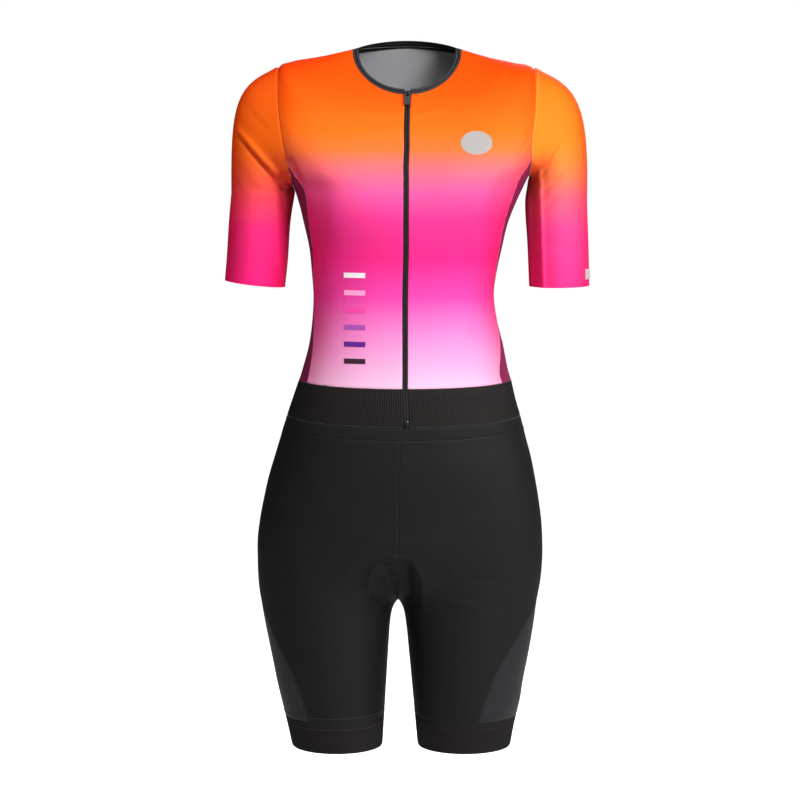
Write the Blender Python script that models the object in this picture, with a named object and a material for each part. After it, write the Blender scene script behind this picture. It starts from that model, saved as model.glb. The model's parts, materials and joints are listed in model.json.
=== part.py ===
"""A short-sleeved one-piece cycling suit in its worn, hollow shape.

Metres, +Z up, front towards -Y, the wearer's left towards +X. The origin lies midway
between the two points where the neckline meets the shoulders. Sizes below are in
millimetres, and "down" is the distance below the origin.
"""
import math
from bisect import bisect_right
from functools import partial

import bmesh
import bpy
from mathutils import Matrix, Vector

MM = 0.001
SIGN = {"right": -1, "left": 1}

# Cloth and seams
WALL = 1.5
BAND_WALL = 2.0
SEAM = 0.3
HALF_SEAM = SEAM / 2

# Armhole, in degrees round the trunk and stations down it
ARM_TURN = 90
ARM_SPREAD = 30
ARM_TOP = 3
ARM_DEPTH = 4
SIDE_FROM = 120
AROUND_STEP = 15

# Stations of the trunk
SIDE_TOP = ARM_TOP + ARM_DEPTH * (1 - math.cos(math.radians(SIDE_FROM))) / 2
SIDE_TURN = ARM_TURN - ARM_SPREAD * math.sin(math.radians(SIDE_FROM))
BACK_TURN = 180 - SIDE_TURN
WAIST = 16
BAND_END = 18

# Lower body
BAND_SIDE = 455
BAND_DIP = 6
STRIP_SIDE = 467
STRIP_DIP = 9
CROTCH_FROM = 600
CROTCH = 687
HEM = 873
GRIPPER_DOWN = 833
GRIPPER = 2 + (GRIPPER_DOWN - CROTCH) / (HEM - CROTCH)
LEG_OPEN = {"right": 9, "left": 7.5}
LEG_OPEN_OVER = 9
LEG_SPREAD = {"right": 0.060, "left": 0.093}
LEG_FROM = 570
LEG_WHOLE = 780
BACK_SEAM_TOP = 0.62
BACK_SEAM_HEM = 0.70

# Neck binding
BIND_IN_SIDE = 8.0
BIND_IN_END = 3.0
BIND_UP_SIDE = 1.5
BIND_UP_END = 6.5

# Zip
ZIP_SLOT = 3.65
CHAIN_HALF = 3.2
CHAIN_WALL = 1.3
CHAIN_SUNK = 0.2
TAPE_HALF = 12
TAPE_WALL = 1.0
CHAIN_END = 17.6
STOP_HALF = 2.5
STOP_END = 17.95
STOP_WALL = 1.9
STOP_PROUD = 0.3

# Slider and pull, across, along the zip and outwards
SLIDER_SIZE = (9.0, 9.0, 2.4)
SLIDER_CLEAR = 1.1
SLIDER_BELOW = 1.5
BRIDGE_SIZE = (2.4, 5.2, 3.6)
PULL_SIZE = (8.0, 17.5, 1.4)
BAR_OUT = 4.8
BAR_THICK = 1.1
BAR_CLEAR = 0.4
WINDOW_HALF = 1.75
WINDOW_LENGTH = 4.4

# Sewn edge of the chamois pad: an arch over the crotch, with a hollow inside it
ARCH_X = -12
ARCH_HALF = 33
ARCH_DOWN = 655
ARCH_TALL = 35
ARCH_END = 700
ARCH_RISE = 1.8
ARCH_EDGE = 3.0
HOLLOW_DEPTH = 6

# Bust shaping of the fronts
BUST_X = 74
BUST_DOWN = 163
BUST_SPAN = 44
BUST_RISE = 6

# Sleeve tag, in degrees round the sleeve
TAG_FROM = 4
TAG_TO = 22
TAG_TOP = 278
TAG_WALL = 1.0


class Table:
    """Rows of sizes with named columns, read on a smooth curve through the rows."""

    def __init__(self, columns, *rows):
        names = columns.split()
        values = list(zip(*rows))
        self.at = values[0]
        self.columns = {name: (list(column), self.slopes(column)) for name, column in zip(names, values)}

    def slopes(self, column):
        last = len(column) - 1
        found = []
        for row in range(last + 1):
            before = max(row - 1, 0)
            after = min(row + 1, last)
            found.append((column[after] - column[before]) / (self.at[after] - self.at[before]))
        return found

    def __call__(self, name, at):
        column, slopes = self.columns[name]
        at = min(max(at, self.at[0]), self.at[-1])
        row = min(bisect_right(self.at, at), len(self.at) - 1) - 1
        span = self.at[row + 1] - self.at[row]
        t = (at - self.at[row]) / span
        rest = 1 - t
        ends = column[row] * rest * rest * (1 + 2 * t) + column[row + 1] * t * t * (1 + 2 * rest)
        bends = span * t * rest * (slopes[row] * rest - slopes[row + 1] * t)
        return ends + bends


# Rings of the trunk, from the neck (0) over the shoulder tip (3), the underarm (7) and
# the waist (16) to the end of the waistband (18). "square" is 0 for an ellipse; "seam"
# is the turn, in degrees from the centre front, of the side panel's front seam.
TRUNK = Table(
    "station front_down right_down left_down back_down centre right left front back square seam",
    (0, 56, 1, 1, -4, 3, 65, 70, 60, 58, 0.00, 64.02),
    (1, 78, 9.5, 10.5, 18, 2.5, 104, 103, 76, 72, 0.05, 64.02),
    (2, 100, 14.5, 16, 43, 2, 139, 133, 88, 85, 0.10, 64.02),
    (3, 118, 21, 22.5, 68, 2, 157, 160, 97, 94, 0.16, 64.02),
    (4, 130, 60, 58, 94, 1.5, 169, 173, 104, 99, 0.21, 64.02),
    (5, 143, 100, 95, 120, 1, 167, 173, 110, 102, 0.24, 64.02),
    (6, 156, 138, 128, 146, 1, 155, 167, 115, 103, 0.24, 64.02),
    (7, 169, 168, 156, 169, 1, 139, 153, 118, 102, 0.22, 64.02),
    (8, 190, 190, 188, 190, 1, 131.5, 138, 118, 101, 0.20, 64.02),
    (9, 215, 215, 215, 215, 1, 125.5, 127.5, 114, 98, 0.18, 69),
    (10, 245, 245, 245, 245, 1, 119, 120.5, 105, 92, 0.16, 78),
    (11, 275, 275, 275, 275, 0.5, 116, 114, 97, 86, 0.15, 88),
    (12, 305, 305, 305, 305, 0, 114, 110.5, 91, 81, 0.14, 91),
    (13, 335, 335, 335, 335, 0, 115.5, 114.5, 88, 79, 0.13, 84),
    (14, 366, 365, 365, 365, 0, 119.5, 122, 88, 82, 0.12, 72),
    (15, 398, 395, 395, 395, 0, 127.5, 128, 90, 87, 0.12, 67),
    (16, 415, 411, 411, 411, 0, 132.5, 132.5, 92, 90, 0.12, 67),
    (17, 438, 433, 433, 433, 1, 140, 137.5, 96, 97, 0.12, 67),
    (18, 461, 455, 455, 455, 1.5, 147.5, 144, 99, 103, 0.12, 67),
)

# Rings of the shorts, by how low they hang at the front; towards the waist they rise by
# BAND_DIP at the sides and the back. The seams are shares of the way round one half or leg, from the
# centre front or the inseam (0) over the outer side (0.5) to the back (1).
LOWER = Table(
    "down centre right left front back leg_front leg_back square right_seam left_seam",
    (461, 1.5, 147.5, 144, 99, 103, 75, 90, 0.12, 0.51, 0.51),
    (474, -4, 151.5, 147.5, 100, 107, 75, 90, 0.12, 0.51, 0.51),
    (486, -6.5, 155, 150.5, 101, 111, 75, 90, 0.12, 0.51, 0.51),
    (511, -7.5, 163, 157.5, 102, 118, 75, 90, 0.12, 0.515, 0.515),
    (536, -8, 171, 163, 101, 123, 75, 90, 0.12, 0.52, 0.52),
    (561, -8.5, 177, 167.5, 99, 126, 75, 90, 0.12, 0.52, 0.52),
    (586, -8.5, 182, 171, 97, 127, 75, 90, 0.12, 0.52, 0.52),
    (611, -8.5, 185, 172.5, 96, 126, 76, 91, 0.12, 0.515, 0.515),
    (636, -8.5, 185, 172.5, 95, 122, 77, 91, 0.12, 0.51, 0.51),
    (661, -8.5, 184, 170.5, 94, 116, 78, 91, 0.12, 0.50, 0.505),
    (687, -8.5, 181, 166, 92, 109, 78, 90, 0.12, 0.46, 0.46),
    (714, -8.5, 176.5, 162.5, 88, 101, 77, 88, 0.12, 0.425, 0.40),
    (740, -8.5, 171.5, 158.5, 84, 95, 75, 85, 0.12, 0.40, 0.36),
    (765, -8.5, 166.5, 154, 80, 90, 73, 83, 0.12, 0.372, 0.33),
    (791, -8.5, 161.5, 149, 76, 86, 70, 80, 0.12, 0.352, 0.31),
    (817, -8.5, 155.5, 145, 72, 82, 67, 77.5, 0.12, 0.340, 0.292),
    (843, -8.5, 149, 138.5, 68, 78, 64.5, 75, 0.12, 0.328, 0.285),
    (873, -8.5, 142.5, 133, 62, 73, 62, 73, 0.12, 0.328, 0.285),
)

# Rings of each sleeve below the armpit; "tilt" is how much lower the inner edge hangs.
SLEEVE = {
    "right": Table(
        "down middle half depth tilt",
        (177, 176, 39.5, 48, 0),
        (212, 180.5, 38.2, 48, 2),
        (254, 183.5, 38, 47.5, 5),
        (288, 187, 37.5, 47, 9),
    ),
    "left": Table(
        "down middle half depth tilt",
        (166, 189, 37, 48, 0),
        (190, 187.5, 38.5, 48, 0),
        (240, 190, 38, 47.5, 0),
        (292, 192, 37.5, 47, 1),
    ),
}
CAP_OUT = 0.36
CAP_UP = 0.62
CAP_TURN_IN = 0.5
CAP_SLOPE = 0.35

# The largest folds, as soft ridges (a height above 0) and troughs (below 0) along a
# line seen from the front. "face" is -1 for the front cloth and 1 for the back cloth.
FOLDS = (
    # face, from x, from down, to x, to down, height, half width
    (-1, -209, 99, -150, 187, 3.2, 7),
    (-1, -216, 130, -182, 200, -1.6, 7),
    (-1, 146, 108, 160, 128, -1.8, 5),
    (-1, 170, 121, 192, 152, -1.8, 5),
    (-1, 97, 205, 106, 290, 1.6, 6),
    (-1, -16, 626, -62, 640, -2.0, 6),
    (-1, -2, 627, 48, 640, -2.0, 6),
    (1, -206, 108, -160, 176, 2.4, 7),
    (1, 170, 118, 200, 160, -1.8, 6),
    (1, -66, 322, 52, 330, -2.0, 8),
    (1, -50, 356, 72, 348, -1.8, 8),
    (1, -150, 700, -46, 708, -2.4, 9),
    (1, 138, 698, 32, 707, -2.4, 9),
)
FOLD_FADE = 30


def soft_step(value):
    value = min(max(value, 0), 1)
    return value * value * (3 - 2 * value)


def fold_height(x, down, start_x, start_down, end_x, end_down, height, half):
    """Height of one fold at a place: a soft rounded line that fades at both ends."""
    run_x = end_x - start_x
    run_down = end_down - start_down
    length = math.hypot(run_x, run_down)
    along = ((x - start_x) * run_x + (down - start_down) * run_down) / length
    off = ((x - start_x) * run_down - (down - start_down) * run_x) / length
    past = max(-along, along - length, 0)
    return height * math.exp(-(off * off + past * past) / (half * half))


def bust_height(x, down):
    away = math.hypot(abs(x) - BUST_X, down - BUST_DOWN)
    return BUST_RISE * math.exp(-(away / BUST_SPAN) ** 2)


def pad_height(x, down):
    """The pad's arched edge stands proud, and the cloth is drawn in below it."""
    across = (x - ARCH_X) / ARCH_HALF
    above = min((down - ARCH_DOWN) / ARCH_TALL, 0)
    reach = math.hypot(across, above)
    ridge = ARCH_RISE * math.exp(-((reach - 1) * ARCH_HALF / ARCH_EDGE) ** 2)
    hollow = HOLLOW_DEPTH * soft_step((1 - reach) * 1.6)
    return (ridge - hollow) * soft_step((ARCH_END - down) / 25)


def shaped(x, y, down):
    """A point of the plain form with the folds and the shaping added, as a vector."""
    face = -1 if y < 0 else 1
    rise = sum(fold_height(x, down, *fold) for side, *fold in FOLDS if side == face)
    if face < 0:
        rise += bust_height(x, down) + pad_height(x, down)
    weight = soft_step(abs(y) / FOLD_FADE)
    return Vector((x, y + face * rise * weight, -down))


def trunk(turn, station):
    """The trunk's outer face: turn 0 is the centre front, 90 the wearer's left side."""
    angle = math.radians(turn)
    across = math.sin(angle)
    ahead = math.cos(angle)
    side = "left" if across >= 0 else "right"
    end = "front" if ahead >= 0 else "back"
    square = TRUNK("square", station)
    centre = TRUNK("centre", station)
    half = TRUNK(side, station) - SIGN[side] * centre
    x = centre + half * across * (1 + square * ahead * ahead)
    y = -TRUNK(end, station) * ahead * (1 + square * across * across)
    side_down = TRUNK(side + "_down", station)
    crown = min(2, 1.05 + 0.5 * station)
    down = side_down + (TRUNK(end + "_down", station) - side_down) * abs(ahead) ** crown
    return shaped(x, y, down)


def inseam(side, down):
    """How far from the middle plane the inner face of a leg lies."""
    below = max(down - CROTCH, 0)
    opened = LEG_OPEN[side] * (1 - math.exp(-below / LEG_OPEN_OVER)) + LEG_SPREAD[side] * below
    return LOWER("centre", down) + SIGN[side] * opened


def lower(side, share, fall):
    """The shorts' outer face: fall 0 to 1 is the trunk, 1 to 2 the crotch, 2 to 3 a leg."""
    dip = max(math.cos(math.pi * share), 0) ** 2
    top = STRIP_SIDE + STRIP_DIP * dip
    if fall < 0:
        down = top + (top - BAND_SIDE - BAND_DIP * dip) * fall
        parted = 0
    elif fall < 1:
        down = top + (CROTCH_FROM - top) * fall
        parted = 0
    elif fall < 2:
        bend = math.radians(90 * (fall - 1))
        down = CROTCH_FROM + (CROTCH - CROTCH_FROM) * math.sin(bend)
        parted = 1 - math.cos(bend)
    else:
        down = CROTCH + (HEM - CROTCH) * (fall - 2)
        parted = 1
    sign = SIGN[side]
    lifted = BAND_DIP * (1 - dip) * soft_step((CROTCH_FROM - down) / (CROTCH_FROM - BAND_SIDE))
    level = down + lifted
    centre = LOWER("centre", level)
    reach = LOWER(side, level)
    square = LOWER("square", level)
    depth = LOWER("front" if math.cos(math.pi * share) >= 0 else "back", level)
    across = math.sin(math.pi * share)
    ahead = math.cos(math.pi * share)
    near_inseam = ahead ** 6
    parted = parted * near_inseam + soft_step((down - LEG_FROM) / (LEG_WHOLE - LEG_FROM)) * (1 - near_inseam)
    trunk_x = centre + sign * (reach - sign * centre) * across * (1 + square * ahead * ahead)
    trunk_y = -depth * ahead * (1 + square * across * across)
    inner = inseam(side, down)
    middle = (sign * reach + inner) / 2
    leg_half = abs(sign * reach - inner) / 2
    leg_ahead = math.sin(2 * math.pi * share)
    leg_x = middle - sign * leg_half * math.cos(2 * math.pi * share)
    leg_y = -LOWER("leg_front" if leg_ahead >= 0 else "leg_back", down) * leg_ahead
    x = trunk_x + (leg_x - trunk_x) * parted
    y = trunk_y + (leg_y - trunk_y) * parted
    return shaped(x, y, down)


def armhole(side, around):
    """The armhole's edge: around 0 is the shoulder, 90 the front, 180 the underarm."""
    angle = math.radians(around)
    turn = ARM_TURN - ARM_SPREAD * math.sin(angle)
    station = ARM_TOP + ARM_DEPTH * (1 - math.cos(angle)) / 2
    return trunk(SIGN[side] * turn, station)


def sleeve_tube(side, around, down):
    table = SLEEVE[side]
    angle = math.radians(around)
    x = SIGN[side] * (table("middle", down) + table("half", down) * math.cos(angle))
    y = -table("depth", down) * math.sin(angle)
    hang = table("tilt", down) * (1 - math.cos(angle)) / 2
    return Vector((x, y, -down - hang))


def sleeve(side, around, along):
    """A sleeve's outer face: along 0 is the armhole, 1 the armpit's level, 2 the cuff."""
    first = SLEEVE[side].at[0]
    last = SLEEVE[side].at[-1]
    if along > 1:
        point = sleeve_tube(side, around, first + (last - first) * (along - 1))
    else:
        start = armhole(side, around)
        end = sleeve_tube(side, around, first)
        span = (end - start).length
        inwards = CAP_TURN_IN * math.sin(math.radians(around))
        outwards = Vector((SIGN[side], inwards, -CAP_SLOPE)).normalized()
        near = start + outwards * span * CAP_OUT
        far = end + Vector((0, 0, span * CAP_UP))
        rest = 1 - along
        point = (start * rest ** 3 + near * 3 * rest * rest * along
                 + far * 3 * rest * along * along + end * along ** 3)
        if along == 0:
            return point
    return shaped(point.x, point.y, -point.z)


def binding(turn, rise):
    """The neck binding: rise 0 is the neckline, 1 the binding's free edge."""
    angle = math.radians(turn)
    edge = trunk(turn, 0)
    end = abs(math.cos(angle))
    inwards = BIND_IN_SIDE + (BIND_IN_END - BIND_IN_SIDE) * end
    upwards = BIND_UP_SIDE + (BIND_UP_END - BIND_UP_SIDE) * end
    away = Vector((math.sin(angle), -math.cos(angle), 0))
    return edge - away * inwards * rise + Vector((0, 0, upwards * rise))


def zip_turn(offset, station):
    """The turn at which the trunk's face lies a given distance beside the zip's middle."""
    side = "left" if offset >= 0 else "right"
    half = TRUNK(side, station) - SIGN[side] * TRUNK("centre", station)
    return math.degrees(offset / (half * (1 + TRUNK("square", station))))


def front_edge(station):
    """Turn at which a front ends: the shoulder seam, the armhole, or the side seam."""
    if station <= ARM_TOP:
        return ARM_TURN
    if station < SIDE_TOP:
        middle = 2 * (station - ARM_TOP) / ARM_DEPTH - 1
        return ARM_TURN - ARM_SPREAD * math.sqrt(1 - middle * middle)
    return TRUNK("seam", station)


def back_edge(station):
    if station < SIDE_TOP:
        return 180 - front_edge(station)
    return BACK_TURN


def front_place(side, share, station):
    start = zip_turn(ZIP_SLOT, station)
    return SIGN[side] * (start + (front_edge(station) - start) * share), station


def back_place(share, station):
    edge = back_edge(station)
    return edge + (360 - 2 * edge) * share, station


def side_place(side, share, fall):
    """A side panel: fall 0 is the armhole's edge, 1 the waist."""
    top_turn = SIDE_TURN + (BACK_TURN - SIDE_TURN) * share
    reach = (ARM_TURN - top_turn) / ARM_SPREAD
    top = ARM_TOP + ARM_DEPTH * (1 + math.sqrt(1 - reach * reach)) / 2
    station = top + (WAIST - top) * fall
    seam = TRUNK("seam", station)
    return SIGN[side] * (seam + (BACK_TURN - seam) * share), station


def lower_seams(side, fall):
    """Shares of the way round at which the side panel of the shorts starts and ends."""
    down = -lower(side, 0.5, fall).z
    back = BACK_SEAM_TOP + (BACK_SEAM_HEM - BACK_SEAM_TOP) * (down - STRIP_SIDE) / (HEM - STRIP_SIDE)
    return LOWER(side + "_seam", down), back


def lower_place(side, piece, share, fall):
    front_seam, back_seam = lower_seams(side, fall)
    ends = {"front": (0, front_seam), "side": (front_seam, back_seam), "back": (back_seam, 1)}
    start, end = ends[piece]
    return start + (end - start) * share, fall


def evenly(start, end, count):
    return [start + (end - start) * step / count for step in range(count + 1)]


def linear(channel):
    return channel / 12.92 if channel <= 0.04045 else ((channel + 0.055) / 1.055) ** 2.4


def material(name, colour, roughness, metallic=0.0):
    """A Principled material from a colour given as a hex string."""
    made = bpy.data.materials.new(name)
    made.use_nodes = True
    shader = made.node_tree.nodes["Principled BSDF"]
    channels = [linear(int(colour[place:place + 2], 16) / 255) for place in (0, 2, 4)]
    shader.inputs["Base Color"].default_value = (*channels, 1)
    shader.inputs["Roughness"].default_value = roughness
    shader.inputs["Metallic"].default_value = metallic
    return made


def add_object(name, mesh, finish):
    mesh.materials.clear()
    mesh.materials.append(finish)
    made = bpy.data.objects.new(name, mesh)
    PARTS.objects.link(made)
    return made


def face_direction(surface, place, steps):
    """The direction square to a surface, from small steps to each side."""
    first, second = place
    step_a, step_b = steps
    along_a = surface(first + step_a, second) - surface(first - step_a, second)
    along_b = surface(first, second + step_b) - surface(first, second - step_b)
    return along_a.cross(along_b).normalized()


def drawn_in(points, direction, column, row, gap, closed):
    """How a point at the border moves inwards, so that the seam's gap stays open."""
    last_column = len(points) - 1
    last_row = len(points[0]) - 1
    here = points[column][row]
    moved = Vector()
    if not closed and column in (0, last_column):
        border = points[column][min(row + 1, last_row)] - points[column][max(row - 1, 0)]
        inside = points[1 if column == 0 else last_column - 1][row] - here
        step = border.cross(direction).normalized()
        moved += step * gap * (1 if step.dot(inside) > 0 else -1)
    if row in (0, last_row):
        before = column - 1 if column > 0 else (last_column - 1 if closed else 0)
        after = column + 1 if column < last_column else (1 if closed else last_column)
        border = points[after][row] - points[before][row]
        inside = points[column][1 if row == 0 else last_row - 1] - here
        step = border.cross(direction).normalized()
        moved += step * gap * (1 if step.dot(inside) > 0 else -1)
    return moved


def slab(columns, rows, closed):
    """A flat slab of squares between -1 and 1, which is then bent into a panel."""
    flat = bmesh.new()
    bmesh.ops.create_grid(flat, x_segments=columns, y_segments=rows, size=1)
    made = bmesh.ops.extrude_face_region(flat, geom=flat.faces[:], use_keep_orig=True)
    for item in made["geom"]:
        if isinstance(item, bmesh.types.BMVert):
            item.co.z = -1
    if closed:
        ends = [face for face in flat.faces if all(abs(vert.co.x) > 0.9999 for vert in face.verts)]
        bmesh.ops.delete(flat, geom=ends, context="FACES")
    return flat


def cloth(name, finish, surface, steps, columns, rows, place=None, axis_x=0.0,
          wall=WALL, lift=0.0, gap=HALF_SEAM, closed=False):
    """A panel of cloth: a wall whose outer face lies on a surface, moved out by lift."""
    spots = [[place(a, b) if place else (a, b) for b in rows] for a in columns]
    points = [[surface(*spot) for spot in line] for line in spots]
    faces = [[face_direction(surface, spot, steps) for spot in line] for line in spots]
    facing = sum(face.dot(point - Vector((axis_x, 0, point.z)))
                 for face_line, line in zip(faces, points) for face, point in zip(face_line, line))
    outwards = 1 if facing > 0 else -1
    count_a = len(columns) - 1
    count_b = len(rows) - 1
    panel = slab(count_a, count_b, closed)
    for vert in panel.verts:
        column = round((vert.co.x + 1) / 2 * count_a)
        row = round((vert.co.y + 1) / 2 * count_b)
        direction = faces[column][row] * outwards
        depth = lift - (wall if vert.co.z < -0.5 else 0)
        moved = drawn_in(points, direction, column, row, gap, closed)
        vert.co = (points[column][row] + moved + direction * depth) * MM
    if closed:
        bmesh.ops.remove_doubles(panel, verts=panel.verts[:], dist=0.00001)
    bmesh.ops.recalc_face_normals(panel, faces=panel.faces[:])
    mesh = bpy.data.meshes.new(name)
    panel.to_mesh(mesh)
    panel.free()
    mesh.shade_smooth()
    mesh.set_sharp_from_angle(angle=math.radians(40))
    return add_object(name, mesh, finish)


def block(name, size, centre, turn_to, finish, rounding=0.0):
    """A box with rounded edges, placed in the slider's own directions."""
    shape = bmesh.new()
    bmesh.ops.create_cube(shape, size=1)
    bmesh.ops.scale(shape, vec=Vector(size), verts=shape.verts[:])
    if rounding:
        bmesh.ops.bevel(shape, geom=shape.edges[:], offset=rounding, segments=2, profile=0.5,
                        affect="EDGES")
    bmesh.ops.translate(shape, vec=Vector(centre), verts=shape.verts[:])
    bmesh.ops.scale(shape, vec=Vector((MM, MM, MM)), verts=shape.verts[:])
    shape.transform(turn_to)
    mesh = bpy.data.meshes.new(name)
    shape.to_mesh(mesh)
    shape.free()
    return add_object(name, mesh, finish)


def combine(target, other, operation):
    """Joins one object to another, or cuts it, and keeps the result as the mesh."""
    change = target.modifiers.new(operation.title(), "BOOLEAN")
    change.operation = operation
    change.object = other
    bpy.context.view_layer.update()
    result = bpy.data.meshes.new_from_object(target.evaluated_get(bpy.context.evaluated_depsgraph_get()))
    target.modifiers.clear()
    target.data = result
    PARTS.objects.unlink(other)
    CUTTERS.objects.link(other)
    other.hide_render = True
    other.display_type = "WIRE"


def zip_frame():
    """Directions at the top of the zip: x across, y up along it, z straight out."""
    top = trunk(0, 0)
    below = trunk(0, 1)
    upwards = (top - below).normalized()
    across = Vector((1, 0, 0))
    out = across.cross(upwards).normalized()
    frame = Matrix((across, upwards, out)).transposed().to_4x4()
    return Matrix.Translation((top - upwards * SLIDER_BELOW) * MM) @ frame


# Rows and columns that neighbouring pieces share, so that their edges run together
AROUND = [float(turn) for turn in range(0, 361, AROUND_STEP)]
ARM_ROWS = [ARM_TOP + ARM_DEPTH * (1 - math.cos(math.radians(turn))) / 2
            for turn in range(0, SIDE_FROM + 1, AROUND_STEP)]
LOW_ROWS = [SIDE_TOP + 0.5, 7.0, 7.5, 8.0, 9.0, 10.0, 11.0, 12.0, 13.0, 14.0, 15.0, 16.0]
SHIRT_ROWS = evenly(0, ARM_TOP - 0.5, 5) + ARM_ROWS + LOW_ROWS
SIDE_ROWS = [(row - SIDE_TOP) / (WAIST - SIDE_TOP) for row in [SIDE_TOP] + LOW_ROWS]
SIDE_COLUMNS = [0.5 - ARM_SPREAD * math.sin(math.radians(turn)) / (BACK_TURN - SIDE_TURN)
                for turn in range(SIDE_FROM, 361 - SIDE_FROM, AROUND_STEP)]
SLEEVE_ROWS = [0.0, 0.12, 0.27, 0.43, 0.6, 0.8, 1.0, 1.25, 1.5, 1.75, 2.0]
SHORTS_ROWS = (evenly(0, 1, 5)[:-1] + evenly(1, 2, 6)[:-1]
               + [2 + (GRIPPER - 2) * (step / 6) ** 1.6 for step in range(7)])
SHORTS_COLUMNS = {"front": 9, "side": 8, "back": 10}
TRUNK_STEPS = (0.2, 0.02)
LOWER_STEPS = (0.002, 0.01)
SLEEVE_STEPS = (0.5, 0.01)
BINDING_STEPS = (0.5, 0.05)


def build_shirt(cloths):
    for side in SIGN:
        cloth("front_" + side, cloths["shirt"], trunk, TRUNK_STEPS, evenly(0, 1, 10), SHIRT_ROWS,
              place=partial(front_place, side))
        cloth("side_" + side, cloths["plum"], trunk, TRUNK_STEPS, SIDE_COLUMNS, SIDE_ROWS,
              place=partial(side_place, side))
        cloth("sleeve_" + side, cloths["sleeve"], partial(sleeve, side), SLEEVE_STEPS, AROUND, SLEEVE_ROWS,
              axis_x=SIGN[side] * SLEEVE[side]("middle", SLEEVE[side].at[-1]), closed=True)
    cloth("back", cloths["shirt"], trunk, TRUNK_STEPS, evenly(0, 1, 18), SHIRT_ROWS, place=back_place)


def build_neck(cloths):
    slot_turn = zip_turn(ZIP_SLOT, 0)
    for side, sign in SIGN.items():
        cloth("neck_binding_" + side, cloths["binding"], binding, BINDING_STEPS,
              evenly(sign * slot_turn, sign * ARM_TURN, 10), [0.0, 1.0])
    back_turns = evenly(ARM_TURN, 360 - ARM_TURN, 16)
    cloth("neck_tape", cloths["tape"], binding, BINDING_STEPS, back_turns, [0.0, 1.0])


def build_zip(cloths):
    rows = [row for row in SHIRT_ROWS if row < WAIST] + [16.0, 16.6, 17.1, CHAIN_END]

    def place(offset, station):
        return zip_turn(offset, station), station

    for side, sign in SIGN.items():
        columns = [0.0, sign * TAPE_HALF / 2, sign * TAPE_HALF]
        cloth("zip_tape_" + side, cloths["tape"], trunk, TRUNK_STEPS, columns, rows + [BAND_END],
              place=place, wall=TAPE_WALL, lift=-BAND_WALL - SEAM)
    cloth("zip_chain", cloths["tape"], trunk, TRUNK_STEPS, [-CHAIN_HALF, 0.0, CHAIN_HALF], rows,
          place=place, wall=CHAIN_WALL, lift=-CHAIN_SUNK)
    cloth("zip_stop", cloths["plastic"], trunk, TRUNK_STEPS, [-STOP_HALF, 0.0, STOP_HALF],
          [CHAIN_END, STOP_END], place=place, wall=STOP_WALL, lift=STOP_PROUD)


def build_slider(cloths):
    """The slider with its bridge, and the pull whose top bar turns in the bridge."""
    frame = zip_frame()
    across, along, thick = SLIDER_SIZE
    slider = block("zip_slider", SLIDER_SIZE, (0, 0, SLIDER_CLEAR + thick / 2), frame, cloths["metal"], 0.6)
    bridge_across, bridge_along, bridge_out = BRIDGE_SIZE
    bridge_middle = SLIDER_CLEAR + thick + bridge_out / 2 - 0.4
    bridge = block("bridge", BRIDGE_SIZE, (0, 0, bridge_middle), frame, cloths["metal"], 0.35)
    combine(slider, bridge, "UNION")
    eye = BAR_THICK + 2 * BAR_CLEAR
    eye_cutter = block("eye", (across, eye, eye), (0, 0, BAR_OUT), frame, cloths["metal"])
    combine(slider, eye_cutter, "DIFFERENCE")
    pull_across, pull_along, pull_thick = PULL_SIZE
    pull = block("zip_pull", (pull_across, pull_along, BAR_THICK),
                 (0, BAR_THICK / 2 - pull_along / 2, BAR_OUT), frame, cloths["pull"], 0.3)
    window = block("window", (2 * WINDOW_HALF, WINDOW_LENGTH, 4),
                   (0, -BAR_THICK / 2 - WINDOW_LENGTH / 2, BAR_OUT), frame, cloths["pull"])
    combine(pull, window, "DIFFERENCE")
    grip_along = pull_along - WINDOW_LENGTH - 4
    grip = block("grip", (pull_across - 1.5, grip_along, pull_thick + 0.6),
                 (0, BAR_THICK / 2 + 1 - pull_along + grip_along / 2, BAR_OUT), frame, cloths["pull"], 0.5)
    combine(pull, grip, "UNION")


def build_waist(cloths):
    slot_turn = zip_turn(ZIP_SLOT, WAIST)
    cloth("waistband", cloths["band"], trunk, TRUNK_STEPS, evenly(slot_turn, 360 - slot_turn, 44),
          [16.0, 17.0, 18.0], wall=BAND_WALL)

    def strip(turn, fall):
        share = abs(turn) / 180 if turn <= 180 else (360 - turn) / 180
        side = "left" if 0 <= turn <= 180 else "right"
        return lower(side, share, fall)

    cloth("waist_strip", cloths["shorts"], strip, (0.2, 0.01), evenly(0, 360, 44), [-1.0, 0.0], closed=True)


def build_shorts(cloths):
    for side in SIGN:
        hem_columns = [0.0]
        for piece, columns in SHORTS_COLUMNS.items():
            finish = cloths["shorts_side" if piece == "side" else "shorts"]
            cloth("shorts_" + piece + "_" + side, finish, partial(lower, side), LOWER_STEPS,
                  evenly(0, 1, columns), SHORTS_ROWS, place=partial(lower_place, side, piece))
            shares = [lower_place(side, piece, share, GRIPPER)[0] for share in evenly(0, 1, columns)]
            hem_columns += shares[1:]
        middle = (SIGN[side] * LOWER(side, HEM) + inseam(side, HEM)) / 2
        cloth("leg_gripper_" + side, cloths["band"], partial(lower, side), LOWER_STEPS,
              hem_columns, evenly(GRIPPER, 3, 2), axis_x=middle, wall=BAND_WALL, closed=True)


def build_tag(cloths):
    """A small tag sewn to the outside of the left cuff."""
    first = SLEEVE["left"].at[0]
    last = SLEEVE["left"].at[-1]
    rows = evenly(1 + (TAG_TOP - first) / (last - first), 2, 2)
    cloth("sleeve_tag", cloths["tag"], partial(sleeve, "left"), SLEEVE_STEPS, evenly(TAG_FROM, TAG_TO, 3),
          rows, axis_x=SLEEVE["left"]("middle", last), wall=TAG_WALL, lift=SEAM + TAG_WALL)


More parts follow.
